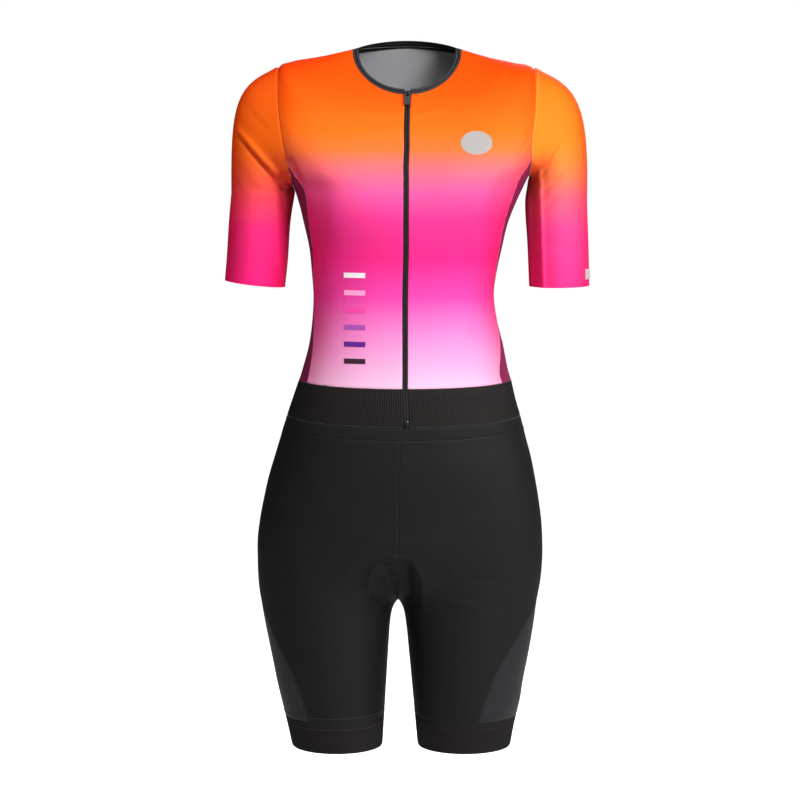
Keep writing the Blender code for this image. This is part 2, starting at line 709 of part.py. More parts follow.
for old in list(bpy.data.objects):
    bpy.data.objects.remove(old)
PARTS = bpy.data.collections.new("cycling_suit")
CUTTERS = bpy.data.collections.new("cutters")
for collection in (PARTS, CUTTERS):
    bpy.context.scene.collection.children.link(collection)

finishes = {
    "shirt": material("shirt_knit", "FB5A7E", 0.55),
    "sleeve": material("sleeve_knit", "FB5C55", 0.55),
    "plum": material("side_knit", "5A1F45", 0.6),
    "binding": material("neck_binding_knit", "3A3A40", 0.7),
    "tape": material("black_tape", "1B1B1D", 0.7),
    "shorts": material("shorts_knit", "1F1F21", 0.5),
    "shorts_side": material("shorts_side_knit", "2B292D", 0.45),
    "band": material("ribbed_elastic", "24211F", 0.65),
    "metal": material("slider_metal", "2C2C2E", 0.35, 0.8),
    "pull": material("pull_rubber", "1A1A1C", 0.5),
    "plastic": material("stop_plastic", "151516", 0.3),
    "tag": material("woven_tag", "DAD6D2", 0.8),
}
build_shirt(finishes)
build_neck(finishes)
build_zip(finishes)
build_slider(finishes)
build_waist(finishes)
build_shorts(finishes)
build_tag(finishes)
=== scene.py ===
"""Looks of the cycling suit: its cloth, zip, sewing, prints, light and camera.

The cloth is rebuilt on the same forms as the solids, with finer folds, in millimetres.
"down" is the distance below the origin, the front faces -Y, and the wearer's left is +X.
"""
import json
import math
from bisect import bisect_right
from functools import partial

import bmesh
import bpy
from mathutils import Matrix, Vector, noise

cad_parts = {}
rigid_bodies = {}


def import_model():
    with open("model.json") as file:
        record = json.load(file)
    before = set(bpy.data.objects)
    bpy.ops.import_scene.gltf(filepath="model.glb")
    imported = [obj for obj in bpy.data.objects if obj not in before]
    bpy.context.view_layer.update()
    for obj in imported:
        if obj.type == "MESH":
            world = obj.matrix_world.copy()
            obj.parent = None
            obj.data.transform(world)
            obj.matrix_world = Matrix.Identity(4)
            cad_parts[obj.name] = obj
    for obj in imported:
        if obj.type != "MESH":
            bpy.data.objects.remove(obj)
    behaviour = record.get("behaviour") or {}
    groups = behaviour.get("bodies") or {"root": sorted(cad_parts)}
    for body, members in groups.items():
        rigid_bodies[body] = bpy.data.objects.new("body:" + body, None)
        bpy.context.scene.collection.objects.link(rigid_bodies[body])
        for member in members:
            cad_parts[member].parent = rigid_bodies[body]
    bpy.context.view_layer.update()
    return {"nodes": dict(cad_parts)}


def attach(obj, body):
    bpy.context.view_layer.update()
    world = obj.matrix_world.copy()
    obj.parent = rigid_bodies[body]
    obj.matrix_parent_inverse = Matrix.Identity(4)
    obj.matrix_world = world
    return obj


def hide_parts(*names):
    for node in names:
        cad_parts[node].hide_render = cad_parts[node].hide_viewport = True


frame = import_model()

MM = 0.001
SIGN = {"right": -1, "left": 1}

# Cloth and seams
WALL = 1.5
BAND_WALL = 2.0
SEAM = 0.3

# Armhole, in degrees round the trunk and stations down it
ARM_TURN = 90
ARM_SPREAD = 30
FRONT_SPREAD = 34.3
ARM_TOP = 3
ARM_DEPTH = 4
SIDE_FROM = 120

# Stations of the trunk
SIDE_TOP = ARM_TOP + ARM_DEPTH * (1 - math.cos(math.radians(SIDE_FROM))) / 2
SIDE_TURN = ARM_TURN - FRONT_SPREAD * math.sin(math.radians(SIDE_FROM))
BACK_TURN = ARM_TURN + ARM_SPREAD * math.sin(math.radians(SIDE_FROM))
WAIST = 16
BAND_END = 18

# Lower body
BAND_SIDE = 455
BAND_DIP = 6
STRIP_SIDE = 467
STRIP_DIP = 9
CROTCH_FROM = 600
CROTCH = 687
HEM = 873
GRIPPER_DOWN = 833
GRIPPER = 2 + (GRIPPER_DOWN - CROTCH) / (HEM - CROTCH)
LEG_OPEN = {"right": 9, "left": 7.5}
LEG_OPEN_OVER = 9
LEG_SPREAD = {"right": 0.060, "left": 0.093}
LEG_FROM = 570
LEG_WHOLE = 780
BACK_SEAM_TOP = 0.62
BACK_SEAM_HEM = 0.70

# Neck binding
BIND_IN_SIDE = 8.0
BIND_IN_END = 3.0
BIND_UP_SIDE = 1.5
BIND_UP_END = 6.5

# Zip
ZIP_SLOT = 3.65
CHAIN_HALF = 3.2
CHAIN_WALL = 1.3
CHAIN_SUNK = 0.2
TAPE_WALL = 1.0
CHAIN_END = 17.6
STOP_END = 17.95
STOP_WALL = 1.9
STOP_PROUD = 0.3

# Sewn edge of the chamois pad: an arch over the crotch, with a hollow inside it
ARCH_X = -12
ARCH_HALF = 33
ARCH_DOWN = 655
ARCH_TALL = 35
ARCH_END = 700
ARCH_RISE = 2.4
ARCH_EDGE = 2.4
HOLLOW_DEPTH = 7

# Bust shaping of the fronts
BUST_X = 74
BUST_DOWN = 163
BUST_SPAN = 44
BUST_RISE = 6

# Sleeve tag, in degrees round the sleeve
TAG_FROM = 10
TAG_TO = 34
TAG_TOP = 271
TAG_END = 283
TAG_WALL = 1.0


class Table:
    """Rows of sizes with named columns, read on a smooth curve through the rows."""

    def __init__(self, columns, *rows):
        names = columns.split()
        values = list(zip(*rows))
        self.at = values[0]
        self.columns = {name: (list(column), self.slopes(column)) for name, column in zip(names, values)}

    def slopes(self, column):
        last = len(column) - 1
        found = []
        for row in range(last + 1):
            before = max(row - 1, 0)
            after = min(row + 1, last)
            found.append((column[after] - column[before]) / (self.at[after] - self.at[before]))
        return found

    def __call__(self, name, at):
        column, slopes = self.columns[name]
        at = min(max(at, self.at[0]), self.at[-1])
        row = min(bisect_right(self.at, at), len(self.at) - 1) - 1
        span = self.at[row + 1] - self.at[row]
        t = (at - self.at[row]) / span
        rest = 1 - t
        ends = column[row] * rest * rest * (1 + 2 * t) + column[row + 1] * t * t * (1 + 2 * rest)
        bends = span * t * rest * (slopes[row] * rest - slopes[row + 1] * t)
        return ends + bends


# Rings of the trunk, from the neck (0) over the shoulder tip (3), the underarm (7) and
# the waist (16) to the end of the waistband (18). "square" is 0 for an ellipse.
TRUNK = Table(
    "station front_down right_down left_down back_down centre right left front back square",
    (0, 56, 1, 1, -4, 3, 65, 70, 60, 58, 0.00),
    (1, 78, 9.5, 10.5, 18, 2.5, 104, 103, 76, 72, 0.05),
    (2, 100, 15.5, 17, 43, 2, 139, 133, 88, 85, 0.10),
    (3, 118, 23.5, 24.5, 68, 2, 157, 160, 97, 94, 0.16),
    (4, 130, 60, 58, 94, 1.5, 169, 173, 104, 99, 0.21),
    (5, 143, 100, 95, 120, 1, 167, 173, 110, 102, 0.24),
    (6, 156, 138, 128, 146, 1, 155, 167, 115, 103, 0.24),
    (7, 169, 168, 156, 169, 1, 139, 153, 118, 102, 0.22),
    (8, 190, 190, 188, 190, 1, 131.5, 138, 118, 101, 0.20),
    (9, 215, 215, 215, 215, 1, 125.5, 127.5, 114, 98, 0.18),
    (10, 245, 245, 245, 245, 1, 119, 120.5, 105, 92, 0.16),
    (11, 275, 275, 275, 275, 0.5, 116, 114, 97, 86, 0.15),
    (12, 305, 305, 305, 305, 0, 114, 110.5, 91, 81, 0.14),
    (13, 335, 335, 335, 335, 0, 115.5, 114.5, 88, 79, 0.13),
    (14, 366, 365, 365, 365, 0, 119.5, 122, 88, 82, 0.12),
    (15, 398, 395, 395, 395, 0, 127.5, 128, 90, 87, 0.12),
    (16, 415, 411, 411, 411, 0, 132.5, 132.5, 92, 90, 0.12),
    (17, 438, 433, 433, 433, 1, 140, 137.5, 96, 97, 0.12),
    (18, 461, 455, 455, 455, 1.5, 147.5, 144, 99, 103, 0.12),
)

# Turns of the side seams, where the plum panels show beside the fronts
SEAM_TURNS = Table(
    "station right left",
    (6, 60.3, 60.3),
    (6.5, 58.8, 59.2),
    (7, 57.5, 58.4),
    (7.5, 57.8, 61),
    (8, 60.5, 63.5),
    (9, 65, 67.5),
    (10, 70, 71),
    (11, 75, 77),
    (12, 78, 84),
    (13, 76, 83),
    (14, 70, 73),
    (15, 65, 62.5),
    (16, 64, 62),
)

# Rings of the shorts, by how low they hang at the front; towards the waist they rise by
# BAND_DIP at the sides and the back. The seams are shares of the way round one half or leg, from the
# centre front or the inseam (0) over the outer side (0.5) to the back (1).
LOWER = Table(
    "down centre right left front back leg_front leg_back square right_seam left_seam",
    (461, 1.5, 147.5, 144, 99, 103, 75, 90, 0.12, 0.51, 0.51),
    (474, -4, 151.5, 147.5, 100, 107, 75, 90, 0.12, 0.51, 0.51),
    (486, -6.5, 155, 150.5, 101, 111, 75, 90, 0.12, 0.51, 0.51),
    (511, -7.5, 163, 157.5, 102, 118, 75, 90, 0.12, 0.515, 0.515),
    (536, -8, 171, 163, 101, 123, 75, 90, 0.12, 0.52, 0.52),
    (561, -8.5, 177, 167.5, 99, 126, 75, 90, 0.12, 0.52, 0.52),
    (586, -8.5, 182, 171, 97, 127, 75, 90, 0.12, 0.52, 0.52),
    (611, -8.5, 185, 172.5, 96, 126, 76, 91, 0.12, 0.515, 0.515),
    (636, -8.5, 185, 172.5, 95, 122, 77, 91, 0.12, 0.51, 0.51),
    (661, -8.5, 184, 170.5, 94, 116, 78, 91, 0.12, 0.50, 0.505),
    (687, -8.5, 181, 166, 92, 109, 78, 90, 0.12, 0.46, 0.46),
    (714, -8.5, 176.5, 162.5, 88, 101, 77, 88, 0.12, 0.425, 0.40),
    (740, -8.5, 171.5, 158.5, 84, 95, 75, 85, 0.12, 0.40, 0.36),
    (765, -8.5, 166.5, 154, 80, 90, 73, 83, 0.12, 0.372, 0.33),
    (791, -8.5, 161.5, 149, 76, 86, 70, 80, 0.12, 0.352, 0.31),
    (817, -8.5, 155.5, 145, 72, 82, 67, 77.5, 0.12, 0.340, 0.292),
    (843, -8.5, 149, 138.5, 68, 78, 64.5, 75, 0.12, 0.328, 0.285),
    (873, -8.5, 142.5, 133, 62, 73, 62, 73, 0.12, 0.328, 0.285),
)

# Rings of each sleeve below the armpit; "tilt" is how much lower the inner edge hangs.
SLEEVE = {
    "right": Table(
        "down middle half depth tilt",
        (177, 176, 39.5, 48, 0),
        (212, 180.5, 38.2, 48, 2),
        (254, 183.5, 38, 47.5, 5),
        (288, 187, 37.5, 47, 9),
    ),
    "left": Table(
        "down middle half depth tilt",
        (166, 189, 37, 48, 0),
        (190, 187.5, 38.5, 48, 0),
        (240, 190, 38, 47.5, 0),
        (292, 192, 37.5, 47, 1),
    ),
}
CAP_OUT = 0.36
CAP_UP = 0.62
CAP_TURN_IN = 0.5
CAP_SLOPE = 0.35

# The largest folds, as soft ridges (a height above 0) and troughs (below 0) along a
# line seen from the front. "face" is -1 for the front cloth and 1 for the back cloth.
FOLDS = (
    # face, from x, from down, to x, to down, height, half width
    (-1, -207, 99, -158, 152, 3.2, 4.5),
    (-1, -206, 107, -150, 171, -3.4, 2.4),
    (-1, 139, 127, 151, 108, -1.2, 2.2),
    (-1, 189, 120, 166, 156, -1.8, 2.2),
    (-1, 97, 205, 106, 290, 1.6, 6),
    (-1, -16, 626, -62, 640, -2.0, 6),
    (-1, -2, 627, 48, 640, -2.0, 6),
    (1, -206, 108, -160, 176, 2.4, 7),
    (1, 170, 118, 200, 160, -1.8, 6),
    (1, -66, 322, 52, 330, -2.0, 8),
    (1, -50, 356, 72, 348, -1.8, 8),
    (1, -150, 700, -46, 708, -2.4, 9),
    (1, 138, 698, 32, 707, -2.4, 9),
)
FOLD_FADE = 30


def soft_step(value):
    value = min(max(value, 0), 1)
    return value * value * (3 - 2 * value)


class Fold:
    """A soft rounded line across the cloth that fades at both ends."""

    def __init__(self, face, start_x, start_down, end_x, end_down, height, half):
        self.face = face
        self.start_x = start_x
        self.start_down = start_down
        self.length = math.hypot(end_x - start_x, end_down - start_down)
        self.way_x = (end_x - start_x) / self.length
        self.way_down = (end_down - start_down) / self.length
        self.height = height
        self.half = half

    def rise(self, x, down):
        aside = x - self.start_x
        below = down - self.start_down
        off = aside * self.way_down - below * self.way_x
        if abs(off) > 3 * self.half:
            return 0
        along = aside * self.way_x + below * self.way_down
        past = max(-along, along - self.length, 0)
        return self.height * math.exp(-(off * off + past * past) / (self.half * self.half))


def bust_height(x, down):
    away = math.hypot(abs(x) - BUST_X, down - BUST_DOWN)
    return BUST_RISE * math.exp(-(away / BUST_SPAN) ** 2)


def pad_height(x, down):
    """The pad's arched edge stands proud, and the cloth is drawn in below it."""
    across = (x - ARCH_X) / ARCH_HALF
    above = min((down - ARCH_DOWN) / ARCH_TALL, 0)
    reach = math.hypot(across, above)
    ridge = ARCH_RISE * math.exp(-((reach - 1) * ARCH_HALF / ARCH_EDGE) ** 2)
    hollow = HOLLOW_DEPTH * soft_step((1 - reach) * 1.6)
    return (ridge - hollow) * soft_step((ARCH_END - down) / 25)


def shaped(x, y, down):
    """A point of the plain form with the folds and the shaping added, as a vector."""
    face = -1 if y < 0 else 1
    rise = sum(fold.rise(x, down) for fold in ALL_FOLDS if fold.face == face)
    if face < 0:
        rise += bust_height(x, down) + pad_height(x, down)
    weight = soft_step(abs(y) / FOLD_FADE)
    return Vector((x, y + face * rise * weight, -down))


def trunk(turn, station):
    """The trunk's outer face: turn 0 is the centre front, 90 the wearer's left side."""
    angle = math.radians(turn)
    across = math.sin(angle)
    ahead = math.cos(angle)
    side = "left" if across >= 0 else "right"
    end = "front" if ahead >= 0 else "back"
    square = TRUNK("square", station)
    centre = TRUNK("centre", station)
    half = TRUNK(side, station) - SIGN[side] * centre
    x = centre + half * across * (1 + square * ahead * ahead)
    y = -TRUNK(end, station) * ahead * (1 + square * across * across)
    side_down = TRUNK(side + "_down", station)
    crown = min(2, 1.05 + 0.5 * station)
    down = side_down + (TRUNK(end + "_down", station) - side_down) * abs(ahead) ** crown
    return shaped(x, y, down)


def inseam(side, down):
    """How far from the middle plane the inner face of a leg lies."""
    below = max(down - CROTCH, 0)
    opened = LEG_OPEN[side] * (1 - math.exp(-below / LEG_OPEN_OVER)) + LEG_SPREAD[side] * below
    return LOWER("centre", down) + SIGN[side] * opened


def lower(side, share, fall):
    """The shorts' outer face: fall 0 to 1 is the trunk, 1 to 2 the crotch, 2 to 3 a leg."""
    dip = max(math.cos(math.pi * share), 0) ** 2
    top = STRIP_SIDE + STRIP_DIP * dip
    if fall < 0:
        down = top + (top - BAND_SIDE - BAND_DIP * dip) * fall
        parted = 0
    elif fall < 1:
        down = top + (CROTCH_FROM - top) * fall
        parted = 0
    elif fall < 2:
        bend = math.radians(90 * (fall - 1))
        down = CROTCH_FROM + (CROTCH - CROTCH_FROM) * math.sin(bend)
        parted = 1 - math.cos(bend)
    else:
        down = CROTCH + (HEM - CROTCH) * (fall - 2)
        parted = 1
    sign = SIGN[side]
    lifted = BAND_DIP * (1 - dip) * soft_step((CROTCH_FROM - down) / (CROTCH_FROM - BAND_SIDE))
    level = down + lifted
    centre = LOWER("centre", level)
    reach = LOWER(side, level)
    square = LOWER("square", level)
    depth = LOWER("front" if math.cos(math.pi * share) >= 0 else "back", level)
    across = math.sin(math.pi * share)
    ahead = math.cos(math.pi * share)
    near_inseam = ahead ** 6
    parted = parted * near_inseam + soft_step((down - LEG_FROM) / (LEG_WHOLE - LEG_FROM)) * (1 - near_inseam)
    trunk_x = centre + sign * (reach - sign * centre) * across * (1 + square * ahead * ahead)
    trunk_y = -depth * ahead * (1 + square * across * across)
    inner = inseam(side, down)
    middle = (sign * reach + inner) / 2
    leg_half = abs(sign * reach - inner) / 2
    leg_ahead = math.sin(2 * math.pi * share)
    leg_x = middle - sign * leg_half * math.cos(2 * math.pi * share)
    leg_y = -LOWER("leg_front" if leg_ahead >= 0 else "leg_back", down) * leg_ahead
    x = trunk_x + (leg_x - trunk_x) * parted
    y = trunk_y + (leg_y - trunk_y) * parted
    return shaped(x, y, down)


def arm_spread(ahead):
    return FRONT_SPREAD if ahead > 0 else ARM_SPREAD


def armhole(side, around):
    """The armhole's edge: around 0 is the shoulder, 90 the front, 180 the underarm."""
    angle = math.radians(around)
    ahead = math.sin(angle)
    turn = ARM_TURN - arm_spread(ahead) * ahead
    station = ARM_TOP + ARM_DEPTH * (1 - math.cos(angle)) / 2
    return trunk(SIGN[side] * turn, station)


def sleeve_tube(side, around, down):
    table = SLEEVE[side]
    angle = math.radians(around)
    x = SIGN[side] * (table("middle", down) + table("half", down) * math.cos(angle))
    y = -table("depth", down) * math.sin(angle)
    hang = table("tilt", down) * (1 - math.cos(angle)) / 2
    return Vector((x, y, -down - hang))


def sleeve(side, around, along):
    """A sleeve's outer face: along 0 is the armhole, 1 the armpit's level, 2 the cuff."""
    first = SLEEVE[side].at[0]
    last = SLEEVE[side].at[-1]
    if along > 1:
        point = sleeve_tube(side, around, first + (last - first) * (along - 1))
    else:
        start = armhole(side, around)
        end = sleeve_tube(side, around, first)
        span = (end - start).length
        inwards = CAP_TURN_IN * math.sin(math.radians(around))
        outwards = Vector((SIGN[side], inwards, -CAP_SLOPE)).normalized()
        near = start + outwards * span * CAP_OUT
        far = end + Vector((0, 0, span * CAP_UP))
        rest = 1 - along
        point = (start * rest ** 3 + near * 3 * rest * rest * along
                 + far * 3 * rest * along * along + end * along ** 3)
        if along == 0:
            return point
    return shaped(point.x, point.y, -point.z)


def binding(turn, rise):
    """The neck binding: rise 0 is the neckline, 1 the binding's free edge."""
    angle = math.radians(turn)
    edge = trunk(turn, 0)
    end = abs(math.cos(angle))
    inwards = BIND_IN_SIDE + (BIND_IN_END - BIND_IN_SIDE) * end
    upwards = BIND_UP_SIDE + (BIND_UP_END - BIND_UP_SIDE) * (end if abs(turn) < ARM_TURN else end ** 2.4)
    away = Vector((math.sin(angle), -math.cos(angle), 0))
    return edge - away * inwards * rise + Vector((0, 0, upwards * rise))


def zip_turn(offset, station):
    """The turn at which the trunk's face lies a given distance beside the zip's middle."""
    side = "left" if offset >= 0 else "right"
    half = TRUNK(side, station) - SIGN[side] * TRUNK("centre", station)
    return math.degrees(offset / (half * (1 + TRUNK("square", station))))


def side_seam(side, station):
    return SEAM_TURNS(side, station) if station > SIDE_TOP else SIDE_TURN


def arm_width(station):
    """The share of its widest that an armhole has at a station: 0 at the shoulder's tip."""
    middle = 2 * (max(station, ARM_TOP) - ARM_TOP) / ARM_DEPTH - 1
    return math.sqrt(1 - middle * middle)


def front_edge(side, station):
    """Turn at which a front ends: the shoulder seam, the armhole, or the side seam."""
    if station < SIDE_TOP:
        return ARM_TURN - FRONT_SPREAD * arm_width(station)
    return side_seam(side, station)


def back_edge(station):
    if station < SIDE_TOP:
        return ARM_TURN + ARM_SPREAD * arm_width(station)
    return BACK_TURN


def front_place(side, share, station):
    start = zip_turn(ZIP_SLOT, station)
    return SIGN[side] * (start + (front_edge(side, station) - start) * share), station


def back_place(share, station):
    edge = back_edge(station)
    return edge + (360 - 2 * edge) * share, station


def side_place(side, share, fall):
    """A side panel: fall 0 is the armhole's edge, 1 the waist."""
    top_turn = SIDE_TURN + (BACK_TURN - SIDE_TURN) * share
    ahead = ARM_TURN - top_turn
    reach = ahead / arm_spread(ahead)
    top = ARM_TOP + ARM_DEPTH * (1 + math.sqrt(1 - reach * reach)) / 2
    station = top + (WAIST - top) * fall
    seam = side_seam(side, station)
    return SIGN[side] * (seam + (BACK_TURN - seam) * share), station


def lower_seams(side, fall):
    """Shares of the way round at which the side panel of the shorts starts and ends."""
    down = -lower(side, 0.5, fall).z
    back = BACK_SEAM_TOP + (BACK_SEAM_HEM - BACK_SEAM_TOP) * (down - STRIP_SIDE) / (HEM - STRIP_SIDE)
    return LOWER(side + "_seam", down), back


def lower_place(side, piece, share, fall):
    front_seam, back_seam = lower_seams(side, fall)
    ends = {"front": (0, front_seam), "side": (front_seam, back_seam), "back": (back_seam, 1)}
    start, end = ends[piece]
    return start + (end - start) * share, fall


# Finer folds that the cloth shows beside the large ones, as in FOLDS
FINE_FOLDS = (
    (-1, -132, 138, -104, 168, -2.4, 15.0),
    (-1, -110, 172, -98, 240, -2.6, 12.0),
    (-1, 112, 150, 92, 196, 1.6, 8.0),
    (-1, -202, 134, -166, 178, 0.8, 6.0),
    (-1, -224, 150, -200, 176, -0.9, 4.0),
    (-1, -196, 70, -172, 96, -0.7, 5.0),
    (-1, -152, 172, -146, 214, -1.8, 3.0),
    (-1, -158, 180, -154, 268, 1.4, 4.0),
    (-1, 165, 152, 170, 292, 2.8, 3.2),
    (-1, 155, 166, 160, 292, -3.6, 4.5),
    (-1, -139, 137, -128, 158, -4.0, 3.6),
    (-1, -152, 158, -134, 150, -2.6, 3.0),
    (-1, 160, 150, 182, 138, -0.9, 2.6),
    (-1, 168, 164, 188, 150, 0.9, 2.6),
    (-1, 168, 176, 190, 158, -1.0, 2.4),
    (-1, 166, 190, 182, 174, 0.9, 2.6),
    (-1, 168, 200, 182, 186, -0.8, 2.6),
    (-1, 150, 140, 160, 156, -1.2, 2.4),
    (-1, -38, 672, -19, 702, -2.4, 3.0),
    (-1, -42, 644, -20, 648, 0.8, 2.4),
    (-1, -42, 654, -18, 662, -0.8, 2.4),
    (-1, -28, 625, -4, 662, -3.6, 2.6),
    (-1, -26, 640, -14, 676, 3.6, 6.0),
    (-1, 2, 632, 5, 674, -6.5, 6.0),
    (-1, -14, 80, -52, 74, 0.7, 3.0),
    (-1, -13, 88, -46, 88, -0.7, 3.0),
    (-1, -14, 96, -40, 101, 0.5, 3.0),
    (-1, 16, 80, 44, 72, 0.6, 3.0),
    (-1, 15, 88, 40, 84, -0.6, 3.0),
    (-1, 100, 208, 112, 262, -1.2, 3.6),
    (-1, 112, 214, 122, 292, 1.0, 4.0),
    (-1, 88, 228, 92, 280, 0.9, 4.5),
    (-1, -118, 222, -112, 300, 0.9, 4.5),
    (-1, -104, 232, -100, 282, -0.8, 4.0),
    (-1, 128, 112, 144, 92, -0.7, 3.0),
    (-1, 134, 136, 146, 120, 0.6, 2.6),
    (-1, -196, 168, -158, 176, -1.0, 4.0),
    (-1, -206, 210, -168, 206, 0.7, 5.0),
    (-1, 172, 236, 212, 250, -0.7, 5.0),
    (-1, -8, 604, -44, 598, 0.9, 4.0),
    (-1, 2, 604, 36, 596, 0.9, 4.0),
    (-1, -60, 656, -118, 646, -1.2, 7.0),
    (-1, 44, 655, 104, 648, -1.2, 7.0),
    (-1, -44, 676, -94, 684, 1.0, 6.0),
    (-1, 34, 674, 84, 684, 1.0, 6.0),
    (-1, -130, 505, -92, 560, 0.8, 9.0),
    (-1, 126, 508, 92, 566, -0.8, 9.0),
    (1, -100, 120, -60, 190, -1.2, 7.0),
    (1, 96, 118, 62, 196, 1.1, 8.0),
    (1, -128, 150, -96, 230, 1.2, 6.0),
    (1, 130, 150, 98, 228, -1.2, 6.0),
    (1, -84, 290, 20, 300, 1.4, 7.0),
    (1, -30, 380, 60, 374, 1.2, 6.0),
    (1, -20, 520, -12, 610, -1.4, 8.0),
    (1, -100, 600, -52, 660, 1.2, 9.0),
    (1, 92, 604, 46, 662, -1.2, 9.0),
    (1, -208, 190, -168, 200, -0.9, 5.0),
    (1, 172, 190, 212, 204, 0.9, 5.0),
)
ALL_FOLDS = [Fold(*sizes) for sizes in FOLDS + FINE_FOLDS]

# Panels of cloth lap a little under their seams
LAP = -0.2

# Angles in degrees beyond which an edge shows as sharp
CLOTH_SHARP = 48
FILM_SHARP = 40

# How far the neck tape reaches down inside the back, in rows of the trunk
FALL_MIDDLE = 0.05
FALL_END = 0.4

# Sewing
STITCH_LENGTH = 2.3
STITCH_GAP = 0.7
THREAD = 0.55
BEAD_SIDES = 5
ARMHOLE_STITCHES = 0.022
SHIRT_STITCH_END = 15.95
RIB_PITCH = 2.9
RIB_RISE = 0.32
PUCKER_PITCH = 5.5
FINE_PUCKER_PITCH = 2.7
PUCKER_REACH = 7.0
FRONT_PUCKERS = {"start": 0.30, "end": 0.42, "bottom": 0.2}

# Cloth beside a seam: the dip along it, and the turned-in edge below
SEAM_DIP = 0.45
SEAM_HALF = 0.8
ALLOWANCE = 6.5
ALLOWANCE_RISE = 0.22
ALLOWANCE_FADE = 1.5

# Sewing threads
THREADS = {
    "grey": "5A5A62", "maroon": "3A1020", "black": "1E1D20", "peach": "FFA868", "pale": "FFB0C8",
    "coral": "FFAE9C",
}

# Zip teeth
TOOTH_PITCH = 1.45
TOOTH_WIDE = 2.5
TOOTH_THICK = 0.85

# Printed bars on the wearer's right front, as lit in the photograph from the top down
BAR_LEFT = -74.5
BAR_RIGHT = -48.5
BAR_DEEP = 6.2
BAR_DOWNS = (274.3, 296, 317.5, 338.5, 359.2, 379.8)
BAR_COLOURS = ("E8DAE0", "F092C2", "E03E96", "96489C", "56167C", "2E1426")

# Pressed films: how far out of the cloth's face they stand, and how thick they are
FILM_OUT = 0.42
FILM_WALL = 0.25

# Plain oval patch on the wearer's left breast
PATCH_AT = (86, 114)
PATCH_HALF = (19, 14)

# Colours down the shirt's fronts and back, and down its sleeves
BODY_DYE = (
    (0, "FF5C04"), (62, "FF6408"), (100, "FF7314"), (122, "FF7A38"), (144, "FF7078"), (173, "FF5AA0"),
    (206, "FF3C98"), (254, "FE2E92"), (303, "FB4CB4"), (351, "F88CCE"), (411, "F4C0E2"),
)
RIGHT_SLEEVE_DYE = (
    (0, "FF6A0C"), (118, "FF7214"), (140, "FF6A28"), (158, "FF5E40"), (180, "FF4A5E"), (222, "FF2E80"),
    (292, "FE2480"),
)
# Painted light: the wearer's left sleeve has the same dye as the right, painted lighter for the stronger
# light on that side
LEFT_SLEEVE_DYE_AND_PAINTED_LIGHT = (
    (0, "FF8418"), (118, "FF8A20"), (140, "FF8638"), (158, "FF7C50"), (180, "FF6276"), (222, "FF4490"),
    (292, "FE368C"),
)

# Painted shade: how the dyed cloth's red, green and blue darken towards its edges, as seen
PAINTED_EDGE_SHADE = (0.94, 0.28, 0.38)
PAINTED_EDGE_SHADE_BLEND = 0.62
DYE_DEPTH = 0.74

# Cut sizes in metres; a piece with an area isn't a rectangle
CUTS = {
    "cloth_back": (0.33, 0.395, 0.1125, ()),
    "cloth_front_SIDE": (0.16, 0.385, 0.0555, ("cloth_back",)),
    "cloth_side_SIDE": (0.118, 0.258, 0.0199, ("cloth_front_SIDE", "cloth_back")),
    "cloth_sleeve_SIDE": (0.30, 0.25, 0.0512, ("cloth_front_SIDE", "cloth_back")),
    "cloth_neck_binding_SIDE": (0.0105, 0.095, None, ("cloth_front_SIDE",)),
    "cloth_neck_tape": (0.011, 0.15, None, ("cloth_back",)),
    "cloth_neck_tape_fall": (0.012, 0.15, None, ("cloth_back",)),
    "cloth_zip_tape_SIDE": (0.012, 0.44, None, ("cloth_front_SIDE",)),
    "cloth_waistband": (0.047, 0.76, None, ("cloth_back",)),
    "cloth_waist_strip": (0.0135, 0.80, None, ("cloth_waistband",)),
    "cloth_shorts_front_SIDE": (0.235, 0.355, 0.0652, ("cloth_waist_strip",)),
    "cloth_shorts_side_SIDE": (0.135, 0.35, 0.0300, ("cloth_waist_strip",)),
    "cloth_shorts_back_SIDE": (0.215, 0.355, 0.0558, ("cloth_waist_strip",)),
    "cloth_leg_gripper_SIDE": (0.04, 0.39, None, ("cloth_shorts_front_SIDE", "cloth_shorts_back_SIDE")),
    "cloth_sleeve_tag": (0.0125, 0.022, None, ("cloth_sleeve_left",)),
}

# Studio: the lamps' places and sizes are in metres, and their powers in watts
AMBIENT = 0.03
AIM = (0, 0, -0.42)
LAMPS = (
    ("key", (1.15, -2.0, 0.9), 0.9, 62),
    ("right_front", (1.6, -1.6, 0.3), 0.9, 17),
    ("right", (2.0, -0.6, 0.2), 1.0, 24),
    ("top", (0.0, -1.6, 1.7), 1.0, 22),
    ("left_top", (-0.9, -0.9, 1.5), 1.0, 19),
    ("left_front", (-1.5, -2.0, 0.3), 1.2, 3),
    ("behind", (0.6, 2.6, 0.8), 1.6, 40),
)
FLOOR_AT = -1.35
FLOOR_REACH = 40
FLOOR_SIDES = 64
CAMERA_AT = (-0.00625, -3.6, -0.05)
CAMERA_WAY = (0, 3.6, -0.386)
CAMERA_LENS = 130.3


def linear(channel):
    return channel / 12.92 if channel <= 0.04045 else ((channel + 0.055) / 1.055) ** 2.4


def paint(colour):
    """A hex colour as the shader's own linear colour."""
    return (*(linear(int(colour[place:place + 2], 16) / 255) for place in (0, 2, 4)), 1)


